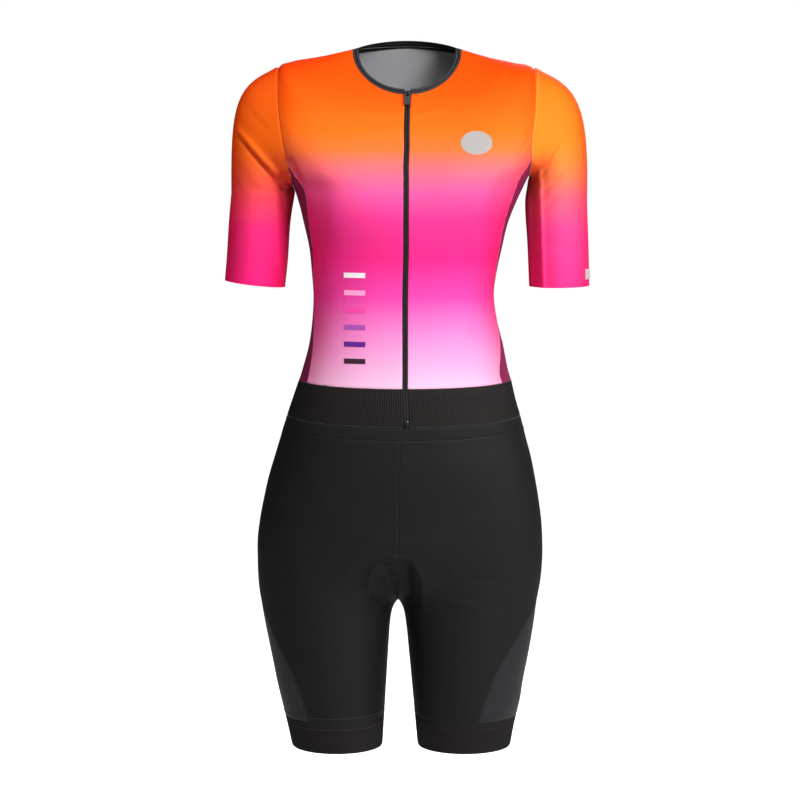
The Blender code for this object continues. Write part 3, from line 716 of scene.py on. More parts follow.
class Shader:
    """A material's nodes, with short calls for the ones that the cloths share."""

    def __init__(self, name, roughness, specular=0.3, metallic=0.0, sheen=0.0):
        self.material = bpy.data.materials.new(name)
        self.material.use_nodes = True
        self.tree = self.material.node_tree
        self.surface = self.tree.nodes["Principled BSDF"]
        self.set("Roughness", roughness)
        self.set("Specular IOR Level", specular)
        self.set("Metallic", metallic)
        self.set("Sheen Weight", sheen)
        self.place = self.node("ShaderNodeTexCoord").outputs["Object"]

    def set(self, socket, value):
        self.surface.inputs[socket].default_value = value

    def node(self, kind, **settings):
        made = self.tree.nodes.new(kind)
        for name, value in settings.items():
            setattr(made, name, value)
        return made

    def link(self, source, target):
        if isinstance(source, (int, float)):
            target.default_value = source
        else:
            self.tree.links.new(source, target)

    def math(self, operation, first, second=0.0, third=0.0):
        made = self.node("ShaderNodeMath", operation=operation)
        for place, value in enumerate((first, second, third)):
            self.link(value, made.inputs[place])
        return made.outputs[0]

    def ramp(self, fac, stops):
        made = self.node("ShaderNodeValToRGB")
        elements = made.color_ramp.elements
        elements[0].position = stops[0][0]
        elements[0].color = stops[0][1]
        elements[1].position = stops[-1][0]
        elements[1].color = stops[-1][1]
        for position, colour in stops[1:-1]:
            elements.new(position).color = colour
        self.link(fac, made.inputs["Fac"])
        return made.outputs["Color"]

    def noise(self, scale, detail):
        made = self.node("ShaderNodeTexNoise")
        made.inputs["Scale"].default_value = scale
        made.inputs["Detail"].default_value = detail
        self.link(self.place, made.inputs["Vector"])
        return made.outputs["Fac"]

    def between(self, fac, low, high):
        """A value from low to high as fac goes from 0 to 1."""
        made = self.node("ShaderNodeMapRange")
        self.link(fac, made.inputs["Value"])
        made.inputs["To Min"].default_value = low
        made.inputs["To Max"].default_value = high
        return made.outputs[0]

    def shade(self, colour, fac, low, high):
        """The colour darkened and lightened as fac goes from 0 to 1."""
        amount = self.between(fac, low, high)
        made = self.node("ShaderNodeVectorMath", operation="SCALE")
        if isinstance(colour, str):
            made.inputs[0].default_value = paint(colour)[:3]
        else:
            self.link(colour, made.inputs[0])
        self.link(amount, made.inputs["Scale"])
        return made.outputs[0]

    def dyed(self, dye):
        """A colour by the height on the garment, out of stops of millimetres down and hex."""
        split = self.node("ShaderNodeSeparateXYZ")
        self.link(self.place, split.inputs[0])
        wander = self.math("MULTIPLY", self.noise(9.0, 2.0), 0.008)
        deep = dye[-1][0]
        down = self.math("SUBTRACT", self.math("SUBTRACT", 0.004, split.outputs["Z"]), wander)
        share = self.math("DIVIDE", down, deep * MM)
        return self.ramp(share, [(at / deep, paint(colour)) for at, colour in dye])

    def turned(self, colour, tint):
        """Painted shade: the colour is darkened, most in green and blue, where the cloth turns away from the
        eye.
        """
        edge = self.node("ShaderNodeLayerWeight")
        edge.inputs["Blend"].default_value = PAINTED_EDGE_SHADE_BLEND
        deeper = self.node("ShaderNodeMix", data_type="RGBA", blend_type="MULTIPLY")
        self.link(edge.outputs["Facing"], deeper.inputs[0])
        self.link(colour, deeper.inputs[6])
        deeper.inputs[7].default_value = (*tint, 1)
        return deeper.outputs[2]

    def weave(self, across_pitch, along_pitch):
        """A knit's columns of slanting loops, 0 to 1, from the cloth's own directions."""
        cloth_place = self.node("ShaderNodeAttribute", attribute_name="cloth_place")
        split = self.node("ShaderNodeSeparateXYZ")
        self.link(cloth_place.outputs["Vector"], split.inputs[0])
        column = self.math("MULTIPLY", split.outputs["X"], 2 * math.pi / across_pitch)
        row = self.math("MULTIPLY", split.outputs["Y"], 2 * math.pi / along_pitch)
        arch = self.math("ABSOLUTE", self.math("SINE", self.math("MULTIPLY", column, 0.5)))
        bend = self.math("MULTIPLY", arch, 0.5)
        loops = self.math("SINE", self.math("ADD", row, self.math("MULTIPLY", bend, math.pi)))
        valleys = self.math("COSINE", column)
        mixed = self.math("ADD", self.math("MULTIPLY", loops, 0.25), self.math("MULTIPLY", valleys, 0.25))
        return self.math("ADD", mixed, 0.5)

    def bump(self, height, strength, distance):
        made = self.node("ShaderNodeBump")
        made.inputs["Strength"].default_value = strength
        made.inputs["Distance"].default_value = distance * MM
        self.link(height, made.inputs["Height"])
        self.link(made.outputs["Normal"], self.surface.inputs["Normal"])

    def colour(self, source):
        self.link(source, self.surface.inputs["Base Color"])

    def rough(self, fac, low, high):
        self.link(self.between(fac, low, high), self.surface.inputs["Roughness"])


def knit(name, colour, roughness, specular=0.15, across=0.55, along=0.5, depth=0.12, low=0.86,
         high=1.06):
    """A knitted cloth; its colour is a hex string or a dye of stops down the garment."""
    made = Shader(name, roughness, specular)
    loops = made.weave(across, along)
    # Dyed cloth gets painted shade: darker and redder where it turns away from the eye
    base = colour if isinstance(colour, str) else made.turned(made.dyed(colour), PAINTED_EDGE_SHADE)
    cloudy = made.shade(base, made.noise(55.0, 4.0), 0.965 * DYE_DEPTH, 1.03 * DYE_DEPTH)
    # Painted shade and highlight: the colour is darker down in the knit's grooves and a little lighter on
    # its loops' tops
    made.colour(made.shade(cloudy, loops, low, high))
    made.rough(made.noise(900.0, 2.0), roughness - 0.06, roughness + 0.06)
    made.bump(loops, 0.5, depth)
    return made.material


def moulded(name, colour, roughness, metallic=0.0, specular=0.4):
    """Metal, rubber or plastic with fine grain and a little wear in its gloss."""
    made = Shader(name, roughness, specular, metallic)
    grain = made.noise(1500.0, 3.0)
    made.colour(made.shade(colour, made.noise(350.0, 4.0), 0.85, 1.15))
    made.rough(grain, roughness - 0.08, roughness + 0.1)
    made.bump(grain, 0.4, 0.03)
    return made.material


def thread(name, colour):
    """Sewing thread, with the twist of its two yarns."""
    made = Shader(name, 0.6, 0.3, sheen=0.2)
    twist = made.noise(2600.0, 1.0)
    made.colour(made.shade(colour, twist, 0.78, 1.12))
    made.bump(twist, 0.5, 0.08)
    return made.material


def film(name, colour, roughness=0.45):
    """A heat-pressed film: smooth, with the cloth's grain showing through a little."""
    made = Shader(name, roughness, 0.35)
    grain = made.weave(0.55, 0.5)
    made.colour(made.shade(colour, made.noise(240.0, 3.0), 0.95, 1.04))
    made.bump(grain, 0.3, 0.06)
    return made.material


def smooth_mesh(name, verts, faces, marks=None, kinds=None, sharp=None):
    """A smooth mesh of points in metres; marks are the cloth's own directions, for its knit."""
    mesh = bpy.data.meshes.new(name)
    mesh.from_pydata(verts, [], faces)
    if kinds:
        mesh.polygons.foreach_set("material_index", kinds)
    if marks:
        mark = mesh.attributes.new("cloth_place", "FLOAT_VECTOR", "POINT")
        mark.data.foreach_set("vector", [value for row in marks for value in row])
    fixed = bmesh.new()
    fixed.from_mesh(mesh)
    bmesh.ops.recalc_face_normals(fixed, faces=fixed.faces[:])
    fixed.to_mesh(mesh)
    fixed.free()
    mesh.shade_smooth()
    if sharp:
        mesh.set_sharp_from_angle(angle=math.radians(sharp))
    return mesh


def add_piece(name, mesh, finishes):
    for finish in finishes:
        mesh.materials.append(finish)
    made = bpy.data.objects.new(name, mesh)
    bpy.context.scene.collection.objects.link(made)
    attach(made, "suit")
    return made


def evenly(start, end, count):
    return [start + (end - start) * step / count for step in range(count + 1)]


def with_edges(start, end, count, edge):
    """Even steps with a few close ones at the ends, where a seam shapes the cloth."""
    span = end - start
    close = [start + span * edge * part for part in (0, 0.12, 0.3, 0.6)]
    far = [end - span * edge * part for part in (0.6, 0.3, 0.12, 0)]
    middle = evenly(start + span * edge, end - span * edge, count)
    return close + middle + far


def run_lengths(line):
    """How far along a line of points each one lies, in millimetres."""
    lengths = [0.0]
    for before, here in zip(line, line[1:]):
        lengths.append(lengths[-1] + (here - before).length)
    return lengths


def beside(place, last, closed):
    """The places before and after one on a line, which runs round if it is closed."""
    before = place - 1 if place > 0 else (last - 1 if closed else 0)
    after = place + 1 if place < last else (1 if closed else last)
    return before, after


def directions(points, closed):
    """The direction square to the cloth at each point of a grid."""
    last_a = len(points) - 1
    last_b = len(points[0]) - 1
    found = []
    for a in range(last_a + 1):
        before, after = beside(a, last_a, closed)
        line = []
        for b in range(last_b + 1):
            along_a = points[after][b] - points[before][b]
            along_b = points[a][min(b + 1, last_b)] - points[a][max(b - 1, 0)]
            line.append(along_a.cross(along_b).normalized())
        found.append(line)
    return found


def drawn_in(points, direction, a, b, closed):
    """How a border point moves, so that neighbouring panels lap by the same amount."""
    last_a = len(points) - 1
    last_b = len(points[0]) - 1
    moved = Vector()

    def step_in(border, inside):
        step = border.cross(direction).normalized()
        return step * LAP * (1 if step.dot(inside) > 0 else -1)

    if not closed and a in (0, last_a):
        border = points[a][min(b + 1, last_b)] - points[a][max(b - 1, 0)]
        moved += step_in(border, points[1 if a == 0 else last_a - 1][b] - points[a][b])
    if b in (0, last_b):
        before, after = beside(a, last_a, closed)
        border = points[after][b] - points[before][b]
        moved += step_in(border, points[a][1 if b == 0 else last_b - 1] - points[a][b])
    return moved


def beside_seam(distance, run, seed, pucker=0.3):
    """Height of the cloth beside a seam: a dip, turned-in edges below, and small puckers."""
    if distance > 4 * PUCKER_REACH:
        return 0
    dip = -SEAM_DIP * math.exp(-(distance / SEAM_HALF) ** 2)
    turned = ALLOWANCE_RISE * soft_step((ALLOWANCE - distance) / ALLOWANCE_FADE)
    rumple = noise.noise(Vector((run / PUCKER_PITCH, seed, 0.3)))
    rumple += 0.5 * noise.noise(Vector((run / FINE_PUCKER_PITCH, seed, 4.1)))
    return dip + turned + pucker * rumple * math.exp(-distance / PUCKER_REACH)


class Spot:
    """Where a point lies on its panel, in millimetres from the panel's four borders."""

    def __init__(self, column, across, width, down, length):
        self.column = column
        self.start = across
        self.end = width - across
        self.top = down
        self.bottom = length - down
        self.across = across
        self.down = down


def seamed(seams, seed, spot, puckers=None):
    """The relief of a panel that is sewn along the named borders."""
    puckers = puckers or {}
    height = 0
    for number, border in enumerate(seams):
        run = spot.down if border in ("start", "end") else spot.across
        height += beside_seam(getattr(spot, border), run, seed + number, puckers.get(border, 0.22))
    return height


def wall_faces(count_a, count_b, closed, outwards):
    """Faces of a wall's two layers and its cut edges, each with the number of its finish."""
    layer = count_a * count_b
    faces = []
    kinds = []

    def corner(a, b, inner):
        return (a % count_a) * count_b + b + (layer if inner else 0)

    def add(face, kind):
        faces.append(face if outwards > 0 else face[::-1])
        kinds.append(kind)

    for a in range(count_a if closed else count_a - 1):
        for b in range(count_b - 1):
            add([corner(a, b, 0), corner(a + 1, b, 0), corner(a + 1, b + 1, 0), corner(a, b + 1, 0)], 0)
            add([corner(a, b, 1), corner(a, b + 1, 1), corner(a + 1, b + 1, 1), corner(a + 1, b, 1)], 1)
        for b, turn in ((0, 1), (count_b - 1, -1)):
            face = [corner(a, b, 1), corner(a + 1, b, 1), corner(a + 1, b, 0), corner(a, b, 0)]
            add(face[::turn], 2)
    if not closed:
        for a, turn in ((0, -1), (count_a - 1, 1)):
            for b in range(count_b - 1):
                face = [corner(a, b, 1), corner(a, b + 1, 1), corner(a, b + 1, 0), corner(a, b, 0)]
                add(face[::-turn], 2)
    return faces, kinds


def panel(name, surface, columns, rows, finishes, nodes, place=None, wall=WALL, lift=0.0,
          closed=False, axis_x=0.0, relief=None):
    """A wall of cloth on a surface, with its own outer, inner and cut-edge finishes."""
    points = [[surface(*(place(a, b) if place else (a, b))) for b in rows] for a in columns]
    ways = directions(points, closed)
    facing = sum(way.dot(point - Vector((axis_x, 0, point.z)))
                 for way_line, line in zip(ways, points) for way, point in zip(way_line, line))
    outwards = 1 if facing > 0 else -1
    downs = [run_lengths(line) for line in points]
    acrosses = list(zip(*[run_lengths(line) for line in zip(*points)]))
    count_a = len(points) - (1 if closed else 0)
    count_b = len(rows)
    verts = []
    marks = []
    for depth in (0, wall):
        for a in range(count_a):
            for b in range(count_b):
                way = ways[a][b] * outwards
                spot = Spot(a, acrosses[a][b], acrosses[-1][b], downs[a][b], downs[a][-1])
                rise = lift - depth + (relief(spot) if relief else 0)
                moved = drawn_in(points, way, a, b, closed)
                verts.append((points[a][b] + moved + way * rise) * MM)
                marks.append((acrosses[a][b], downs[a][b], 0))
    faces, kinds = wall_faces(count_a, count_b, closed, outwards)
    made = add_piece(name, smooth_mesh(name, verts, faces, marks, kinds, CLOTH_SHARP), finishes)
    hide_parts(*nodes)


def line_on(surface, spots, lift, steps, axis_x=0):
    """Points along a line on a surface, each with its direction away from the tube's middle."""
    found = []
    for first, second in spots:
        point = surface(first, second)
        along_a = surface(first + steps[0], second) - surface(first - steps[0], second)
        along_b = surface(first, second + steps[1]) - surface(first, second - steps[1])
        way = along_a.cross(along_b).normalized()
        found.append((point + way * lift, way))
    total = sum(way.dot(point - Vector((axis_x, 0, point.z))) for point, way in found)
    return found if total > 0 else [(point, -way) for point, way in found]


def along_line(line, start, pitch):
    """Even places along a line, each as a point, its direction along, and out."""
    lengths = run_lengths([point for point, way in line])
    at = start
    while at < lengths[-1] - pitch / 2:
        step = min(bisect_right(lengths, at), len(lengths) - 1) - 1
        share = (at - lengths[step]) / max(lengths[step + 1] - lengths[step], 1e-6)
        first, way = line[step]
        last, last_way = line[step + 1]
        yield first.lerp(last, share), (last - first).normalized(), way.lerp(last_way, share).normalized()
        at += pitch


def add_bead(verts, faces, centre, along, across, out, sizes):
    """One stitch or tooth: a short round-ended rod that lies on the cloth."""
    length, width, height = (size / 2 for size in sizes)
    sides = BEAD_SIDES
    base = len(verts)
    verts.append(centre - along * length)
    for place in (-0.72, 0.72):
        for side in range(sides):
            angle = 2 * math.pi * (side + 0.5) / sides
            verts.append(centre + along * length * place + across * width * math.cos(angle)
                         + out * height * math.sin(angle))
    verts.append(centre + along * length)
    last = len(verts) - 1
    for side in range(sides):
        after = (side + 1) % sides
        faces.append((base, base + 1 + after, base + 1 + side))
        faces.append((base + 1 + side, base + 1 + after, base + 1 + sides + after, base + 1 + sides + side))
        faces.append((base + 1 + sides + side, base + 1 + sides + after, last))


def sewing(name, lines, finish, offsets=(0.0,), length=STITCH_LENGTH, gap=STITCH_GAP, width=THREAD,
           height=THREAD):
    """Rows of stitches beside each line."""
    verts = []
    faces = []
    for number, line in enumerate(lines):
        for row, offset in enumerate(offsets):
            for point, along, out in along_line(line, 0.6 + 0.5 * ((row + number) % 2), length + gap):
                across = along.cross(out).normalized()
                centre = point + across * offset
                add_bead(verts, faces, centre, along, across, out, (length, width, height))
    made = add_piece(name, smooth_mesh(name, [vert * MM for vert in verts], faces), [finish])


def even_steps(place, start, end, pitch):
    """Values between start and end at which the points of a line lie a pitch apart."""
    samples = evenly(start, end, 900)
    lengths = run_lengths([place(value) for value in samples])
    count = round(lengths[-1] / pitch)
    found = []
    for step in range(count + 1):
        target = lengths[-1] * step / count
        at = min(bisect_right(lengths, target), len(lengths) - 1) - 1
        share = (target - lengths[at]) / (lengths[at + 1] - lengths[at])
        found.append(samples[at] + (samples[at + 1] - samples[at]) * share)
    return found


# Fullness of a sleeve's head, the dip in the shoulder beside it, and how far down each cuff is
HEAD_RISE = 1.3
HEAD_REACH = 32
HEAD_NEAR = 9
SHOULDER_DIP = 1.0
SHOULDER_RUN = 94
SHOULDER_HALF = 14
CUFF_SHARE = {"right": 0.975, "left": 1.0}

# Rows and columns that neighbouring pieces share, so that their edges run together
BAND_TOP = 15.87
ARM_ROWS = [ARM_TOP + ARM_DEPTH * (1 - math.cos(math.radians(turn))) / 2
            for turn in range(0, SIDE_FROM + 1, 3)]
LOW_ROWS = [SIDE_TOP + step * 0.1 for step in range(1, 99)] + [15.75, 15.81, 15.84, BAND_TOP]
SHIRT_ROWS = [0.0, 0.03, 0.07] + evenly(0.12, ARM_TOP - 0.1, 26) + ARM_ROWS + LOW_ROWS
SIDE_ROWS = [(row - SIDE_TOP) / (WAIST - SIDE_TOP) for row in [SIDE_TOP, SIDE_TOP + 0.03] + LOW_ROWS]
SIDE_AHEADS = [math.sin(math.radians(turn)) for turn in range(SIDE_FROM, 361 - SIDE_FROM, 5)]
SIDE_COLUMNS = [(ARM_TURN - arm_spread(ahead) * ahead - SIDE_TURN) / (BACK_TURN - SIDE_TURN)
                for ahead in SIDE_AHEADS]
SLEEVE_ROWS = [0.0, 0.01, 0.025, 0.05] + evenly(0.08, 1, 44) + evenly(1.02, 1.985, 60) + [1.993, 2.0]
SHORTS_ROWS = ([0.0, 0.006, 0.016, 0.03] + evenly(0.05, 0.975, 38) + evenly(1, 1.97, 54)
               + evenly(2, GRIPPER - 0.02, 54) + [GRIPPER - 0.01, GRIPPER - 0.004, GRIPPER])
SHORTS_COLUMNS = {
    "front": ([0.0, 0.004, 0.01, 0.02] + evenly(0.03, 0.42, 34) + evenly(0.44, 0.97, 22)
              + [0.98, 0.99, 0.996, 1.0]),
    "side": with_edges(0, 1, 28, 0.05),
    "back": with_edges(0, 1, 36, 0.05),
}
TRUNK_STEPS = (0.2, 0.02)
LOWER_STEPS = (0.002, 0.01)
SLEEVE_STEPS = (0.5, 0.01)
BINDING_STEPS = (0.5, 0.05)


def shouldered(shoulders, seed, puckers, spot):
    """A body panel's relief: its seams, and a slight dip where each shoulder meets its armhole."""
    along = (spot.down - SHOULDER_RUN) / SHOULDER_HALF
    dip = sum(math.exp(-(getattr(spot, border) / HEAD_NEAR) ** 2 - along * along) for border in shoulders)
    return seamed(("start", "end", "bottom"), seed, spot, puckers) - SHOULDER_DIP * dip


def headed(seed, spot):
    """A sleeve's relief: its seam, and the fullness of its head against the shoulder."""
    crown = min(spot.start, spot.end)
    full = HEAD_RISE * math.exp(-(spot.top / HEAD_NEAR) ** 2 - (crown / HEAD_REACH) ** 2)
    return full + seamed(("top",), seed, spot, {"top": 0.55})


def build_shirt(cloths):
    for number, side in enumerate(SIGN):
        shell = [cloths["body"], cloths["inside"], cloths["cut"]]
        panel("cloth_front_" + side, trunk, with_edges(0, 1, 34, 0.035), SHIRT_ROWS, shell,
              ["front_" + side], place=partial(front_place, side),
              relief=partial(shouldered, ("end",), 11 + number * 7, FRONT_PUCKERS))
        panel("cloth_side_" + side, trunk, SIDE_COLUMNS, SIDE_ROWS,
              [cloths["plum"], cloths["inside"], cloths["plum"]], ["side_" + side],
              place=partial(side_place, side),
              relief=partial(seamed, ("start", "end"), 31 + number * 7))
        table = SLEEVE[side]
        rows = [row if row <= 1 else 1 + (row - 1) * CUFF_SHARE[side] for row in SLEEVE_ROWS]
        panel("cloth_sleeve_" + side, partial(sleeve, side), evenly(0, 360, 180), rows,
              [cloths["sleeve_" + side], cloths["inside"], cloths["cut"]], ["sleeve_" + side],
              axis_x=SIGN[side] * table("middle", table.at[-1]), closed=True,
              relief=partial(headed, 51 + number * 7))
    panel("cloth_back", trunk, with_edges(0, 1, 60, 0.02), SHIRT_ROWS,
          [cloths["body"], cloths["inside"], cloths["cut"]], ["back"], place=back_place,
          relief=partial(shouldered, ("start", "end"), 71, {}))


def crowned(rise, spot):
    """A folded binding: round across, with a groove along its middle and a pressed line where a row of
    stitches runs.
    """
    share = spot.down / (spot.down + spot.bottom)
    pressed = 0.3 * math.exp(-((share - 0.22) / 0.07) ** 2) + 0.9 * math.exp(-((share - 0.52) / 0.1) ** 2)
    return rise * (1 - (2 * share - 1) ** 2) - pressed


def build_neck(cloths):
    slot_turn = zip_turn(ZIP_SLOT, 0)
    for side, sign in SIGN.items():
        columns = evenly(sign * slot_turn, sign * ARM_TURN, 60)
        panel("cloth_neck_binding_" + side, binding, columns, evenly(0, 1, 14), [cloths["binding"]],
              ["neck_binding_" + side], relief=partial(crowned, 0.5))
        lines = [line_on(binding, [(turn, rise) for turn in columns], 0.35, BINDING_STEPS)
                 for rise in (0.22, 0.78)]
        sewing("stitches_neck_" + side, lines, cloths["grey_thread"])
    back_turns = evenly(ARM_TURN, 360 - ARM_TURN, 90)
    panel("cloth_neck_tape", binding, back_turns, evenly(0, 1, 10), [cloths["tape"]],
          ["neck_tape"], relief=partial(crowned, 0.2))

    def fall(turn, share):
        """The tape's lower half, turned down over the inside of the back and deeper at its ends."""
        end = abs(math.sin(math.radians(turn)))
        return turn, share * (FALL_MIDDLE + (FALL_END - FALL_MIDDLE) * end ** 2)

    panel("cloth_neck_tape_fall", trunk, back_turns, evenly(0, 1, 8), [cloths["tape"]],
          ["neck_tape"], place=fall, wall=0.8, lift=-WALL - 0.4)


def rounded(fall, spot):
    """A small piece's relief: its borders are rounded down."""
    nearest = min(spot.start, spot.end, spot.top, spot.bottom)
    return -fall * math.exp(-(nearest / 0.5) ** 2)


def build_zip(cloths):
    rows = [row for row in SHIRT_ROWS if row < WAIST] + [16.0, 16.3, 16.6, 17.1, CHAIN_END]

    def place(offset, station):
        return zip_turn(offset, station), station

    for side, sign in SIGN.items():
        columns = [sign * offset for offset in (0.0, 3.0, 6.0, 9.0, 12.0)]
        panel("cloth_zip_tape_" + side, trunk, columns, rows[::2] + [BAND_END], [cloths["tape"]],
              ["zip_tape_" + side], place=place, wall=TAPE_WALL, lift=-BAND_WALL - SEAM)

    def groove(spot):
        middle = abs(spot.across - CHAIN_HALF)
        return -0.35 * math.exp(-(middle / 0.35) ** 2)

    columns = [-3.2, -2.9, -2.0, -1.0, -0.5, -0.2, 0.0, 0.2, 0.5, 1.0, 2.0, 2.9, 3.2]
    panel("zip_coil_chain", trunk, columns, rows, [cloths["zip_cloth"]], ["zip_chain"],
          place=place, wall=CHAIN_WALL, lift=-CHAIN_SUNK, relief=groove)
    lines = []
    for offset in (-1.45, 1.45):
        spots = [place(offset, station) for station in rows]
        lines.append(line_on(trunk, spots, -CHAIN_SUNK + 0.1, TRUNK_STEPS))
    sewing("zip_teeth", lines, cloths["coil"], length=TOOTH_THICK, gap=TOOTH_PITCH - TOOTH_THICK,
           width=TOOTH_WIDE, height=0.7)
    panel("zip_end_stop", trunk, [-2.5, -2.1, -1.2, 0.0, 1.2, 2.1, 2.5], evenly(CHAIN_END, STOP_END, 6),
          [cloths["plastic"]], ["zip_stop"], place=place, wall=STOP_WALL,
          lift=STOP_PROUD, relief=partial(rounded, 0.5))


def ribbed(rise, spot):
    """Upright ribs, four columns of points to each, that flatten at the sewn edges."""
    wave = (-1, 0, 1, 0)[spot.column % 4]
    fade = soft_step(spot.top / 2.5) * soft_step(spot.bottom / 2.5)
    return rise * wave * fade - 0.3 * (1 - fade)


def build_waist(cloths):
    slot_turn = zip_turn(ZIP_SLOT, WAIST)
    columns = even_steps(lambda turn: trunk(turn, 17), slot_turn, 360 - slot_turn, RIB_PITCH / 4)
    rows = [BAND_TOP, 15.9, 15.95, 16.03, 16.5, 17.0, 17.5, 17.86, 17.92, 17.97, 18.0]
    panel("cloth_waistband", trunk, columns, rows, [cloths["band"]], ["waistband"],
          wall=BAND_WALL, relief=partial(ribbed, RIB_RISE))

    def strip(turn, fall):
        share = turn / 180 if turn <= 180 else (360 - turn) / 180
        return lower("left" if turn <= 180 else "right", share, fall)

    rows = [-1.0, -0.97, -0.9, -0.75, -0.5, -0.25, -0.1, -0.03, 0.0]
    panel("cloth_waist_strip", strip, evenly(0, 360, 180), rows, [cloths["shorts"]],
          ["waist_strip"], closed=True, relief=partial(seamed, ("top", "bottom"), 91))


def leg_middle(side):
    return (SIGN[side] * LOWER(side, HEM) + inseam(side, HEM)) / 2


def build_shorts(cloths):
    for number, side in enumerate(SIGN):
        for piece, columns in SHORTS_COLUMNS.items():
            finish = cloths["shorts_side" if piece == "side" else "shorts"]
            panel("cloth_shorts_" + piece + "_" + side, partial(lower, side), columns,
                  SHORTS_ROWS, [finish, cloths["shorts_inside"], finish], ["shorts_" + piece + "_" + side],
                  place=partial(lower_place, side, piece),
                  relief=partial(seamed, ("start", "end", "top", "bottom"), 101 + number * 7))
        columns = even_steps(lambda share: lower(side, share, (GRIPPER + 3) / 2), 0, 1, RIB_PITCH / 4)
        while (len(columns) - 1) % 4:
            columns = columns[:-2] + [1.0]
        rows = [GRIPPER + (3 - GRIPPER) * step
                for step in (0, 0.02, 0.045, 0.08, 0.3, 0.5, 0.7, 0.92, 0.955, 0.98, 1)]
        panel("cloth_leg_gripper_" + side, partial(lower, side), columns, rows, [cloths["band"]],
              ["leg_gripper_" + side], axis_x=leg_middle(side), wall=BAND_WALL,
              closed=True, relief=partial(ribbed, RIB_RISE))


def build_tag(cloths):
    first = SLEEVE["left"].at[0]
    last = SLEEVE["left"].at[-1]
    rows = [1 + (down - first) / (last - first) for down in evenly(TAG_TOP, TAG_END, 12)]
    panel("cloth_sleeve_tag", partial(sleeve, "left"), evenly(TAG_FROM, TAG_TO, 12), rows, [cloths["tag"]],
          ["sleeve_tag"], axis_x=SLEEVE["left"]("middle", last), wall=TAG_WALL,
          lift=SEAM + TAG_WALL, relief=partial(rounded, 0.25))


def front_spot(x, down):
    """The turn and station of a place on the trunk's front, found from x and its depth below."""
    turn = 0.0
    station = 8.0
    for step in range(24):
        point = trunk(turn, station)
        turn += (x - point.x) * 0.42
        station = min(max(station + (down + point.z) * 0.028, 0), 18)
    return turn, station


def film_on_cloth(name, corners, finish, columns=8, rows=4):
    """A pressed film over a patch of the front, given as points of (x, down)."""
    spots = [[front_spot(*corners(a / columns, b / rows)) for b in range(rows + 1)]
             for a in range(columns + 1)]
    points = [[trunk(*spot) for spot in line] for line in spots]
    ways = directions(points, False)
    sign = 1 if ways[0][0].y < 0 else -1
    verts = []
    marks = []
    for height in (FILM_OUT, FILM_OUT - FILM_WALL):
        for point_line, way_line in zip(points, ways):
            for point, way in zip(point_line, way_line):
                verts.append((point + way * sign * height) * MM)
                marks.append((point.x, -point.z, 0))
    deep = rows + 1
    layer = deep * (columns + 1)
    faces = []
    for a in range(columns):
        for b in range(rows):
            ring = [a * deep + b, (a + 1) * deep + b, (a + 1) * deep + b + 1, a * deep + b + 1]
            faces.append(ring)
            faces.append([place + layer for place in reversed(ring)])
    border = ([(a, 0) for a in range(columns)] + [(columns, b) for b in range(rows)]
              + [(a, rows) for a in range(columns, 0, -1)] + [(0, b) for b in range(rows, 0, -1)])
    for here, after in zip(border, border[1:] + border[:1]):
        first = here[0] * deep + here[1]
        second = after[0] * deep + after[1]
        faces.append([first, second, second + layer, first + layer])
    add_piece(name, smooth_mesh(name, verts, faces, marks, sharp=FILM_SHARP), [finish])


def build_prints():
    for number, (down, colour) in enumerate(zip(BAR_DOWNS, BAR_COLOURS), 1):
        def corners(across, along, down=down):
            return BAR_LEFT + (BAR_RIGHT - BAR_LEFT) * across, down + BAR_DEEP * (along - 0.5)
        film_on_cloth("print_bar_%d" % number, corners, film("bar_film_%d" % number, colour))

    def oval(across, along):
        x = 2 * across - 1
        y = 2 * along - 1
        round_x = x * math.sqrt(1 - y * y / 2)
        round_y = y * math.sqrt(1 - x * x / 2)
        return PATCH_AT[0] + PATCH_HALF[0] * round_x, PATCH_AT[1] + PATCH_HALF[1] * round_y
    film_on_cloth("print_oval", oval, film("reflective_film", "86827F", 0.35), 20, 16)


def sew_shirt(side, cloths):
    """Stitches round an armhole, down a side seam and beside the zip."""
    sign = SIGN[side]
    spots = [(around, ARMHOLE_STITCHES) for around in evenly(0, 360, 120)]
    low, high = (line_on(partial(sleeve, side), spots, lift, SLEEVE_STEPS, sign * 150)
                 for lift in (0.5, 0.5 + HEAD_RISE))
    runs = run_lengths([place for place, way in low])
    shares = [math.exp(-(min(run, runs[-1] - run) / HEAD_REACH) ** 2) for run in runs]
    arm = [(a.lerp(b, share), way) for (a, way), (b, other), share in zip(low, high, shares)]
    sewing("stitches_armhole_" + side, [arm], cloths["peach_thread"], length=2.6, gap=0.5,
           width=0.9 if side == "right" else 0.45)
    spots = [(sign * (side_seam(side, station) - 0.4), station)
             for station in evenly(SIDE_TOP, SHIRT_STITCH_END, 110)]
    sewing("stitches_side_" + side, [line_on(trunk, spots, 0.1, TRUNK_STEPS)],
           cloths["pale_thread"], length=2.6, gap=0.5, width=0.7)
    spots = [(zip_turn(sign * (ZIP_SLOT + 2.6), station), station)
             for station in evenly(0.1, SHIRT_STITCH_END, 200)]
    sewing("stitches_zip_" + side, [line_on(trunk, spots, 0.12, TRUNK_STEPS)],
           cloths["coral_thread"], width=0.5)


def sew_shorts(side, cloths):
    """Stitches beside the shorts' side panel and round the gripper."""
    seams = []
    for share in (0.0, 1.0):
        spots = [lower_place(side, "side", share, fall) for fall in evenly(0.02, GRIPPER - 0.01, 170)]
        seams.append(line_on(partial(lower, side), spots, 0.2, LOWER_STEPS))
    sewing("stitches_shorts_" + side, seams, cloths["black_thread"], offsets=(-2.2, 2.2), gap=0.5)
    hems = []
    for fall in (GRIPPER - 0.028, GRIPPER + 0.05):
        spots = [(share, fall) for share in evenly(0, 1, 160)]
        hems.append(line_on(partial(lower, side), spots, 0.2, LOWER_STEPS, leg_middle(side)))
    sewing("stitches_gripper_" + side, hems, cloths["black_thread"], gap=0.5)


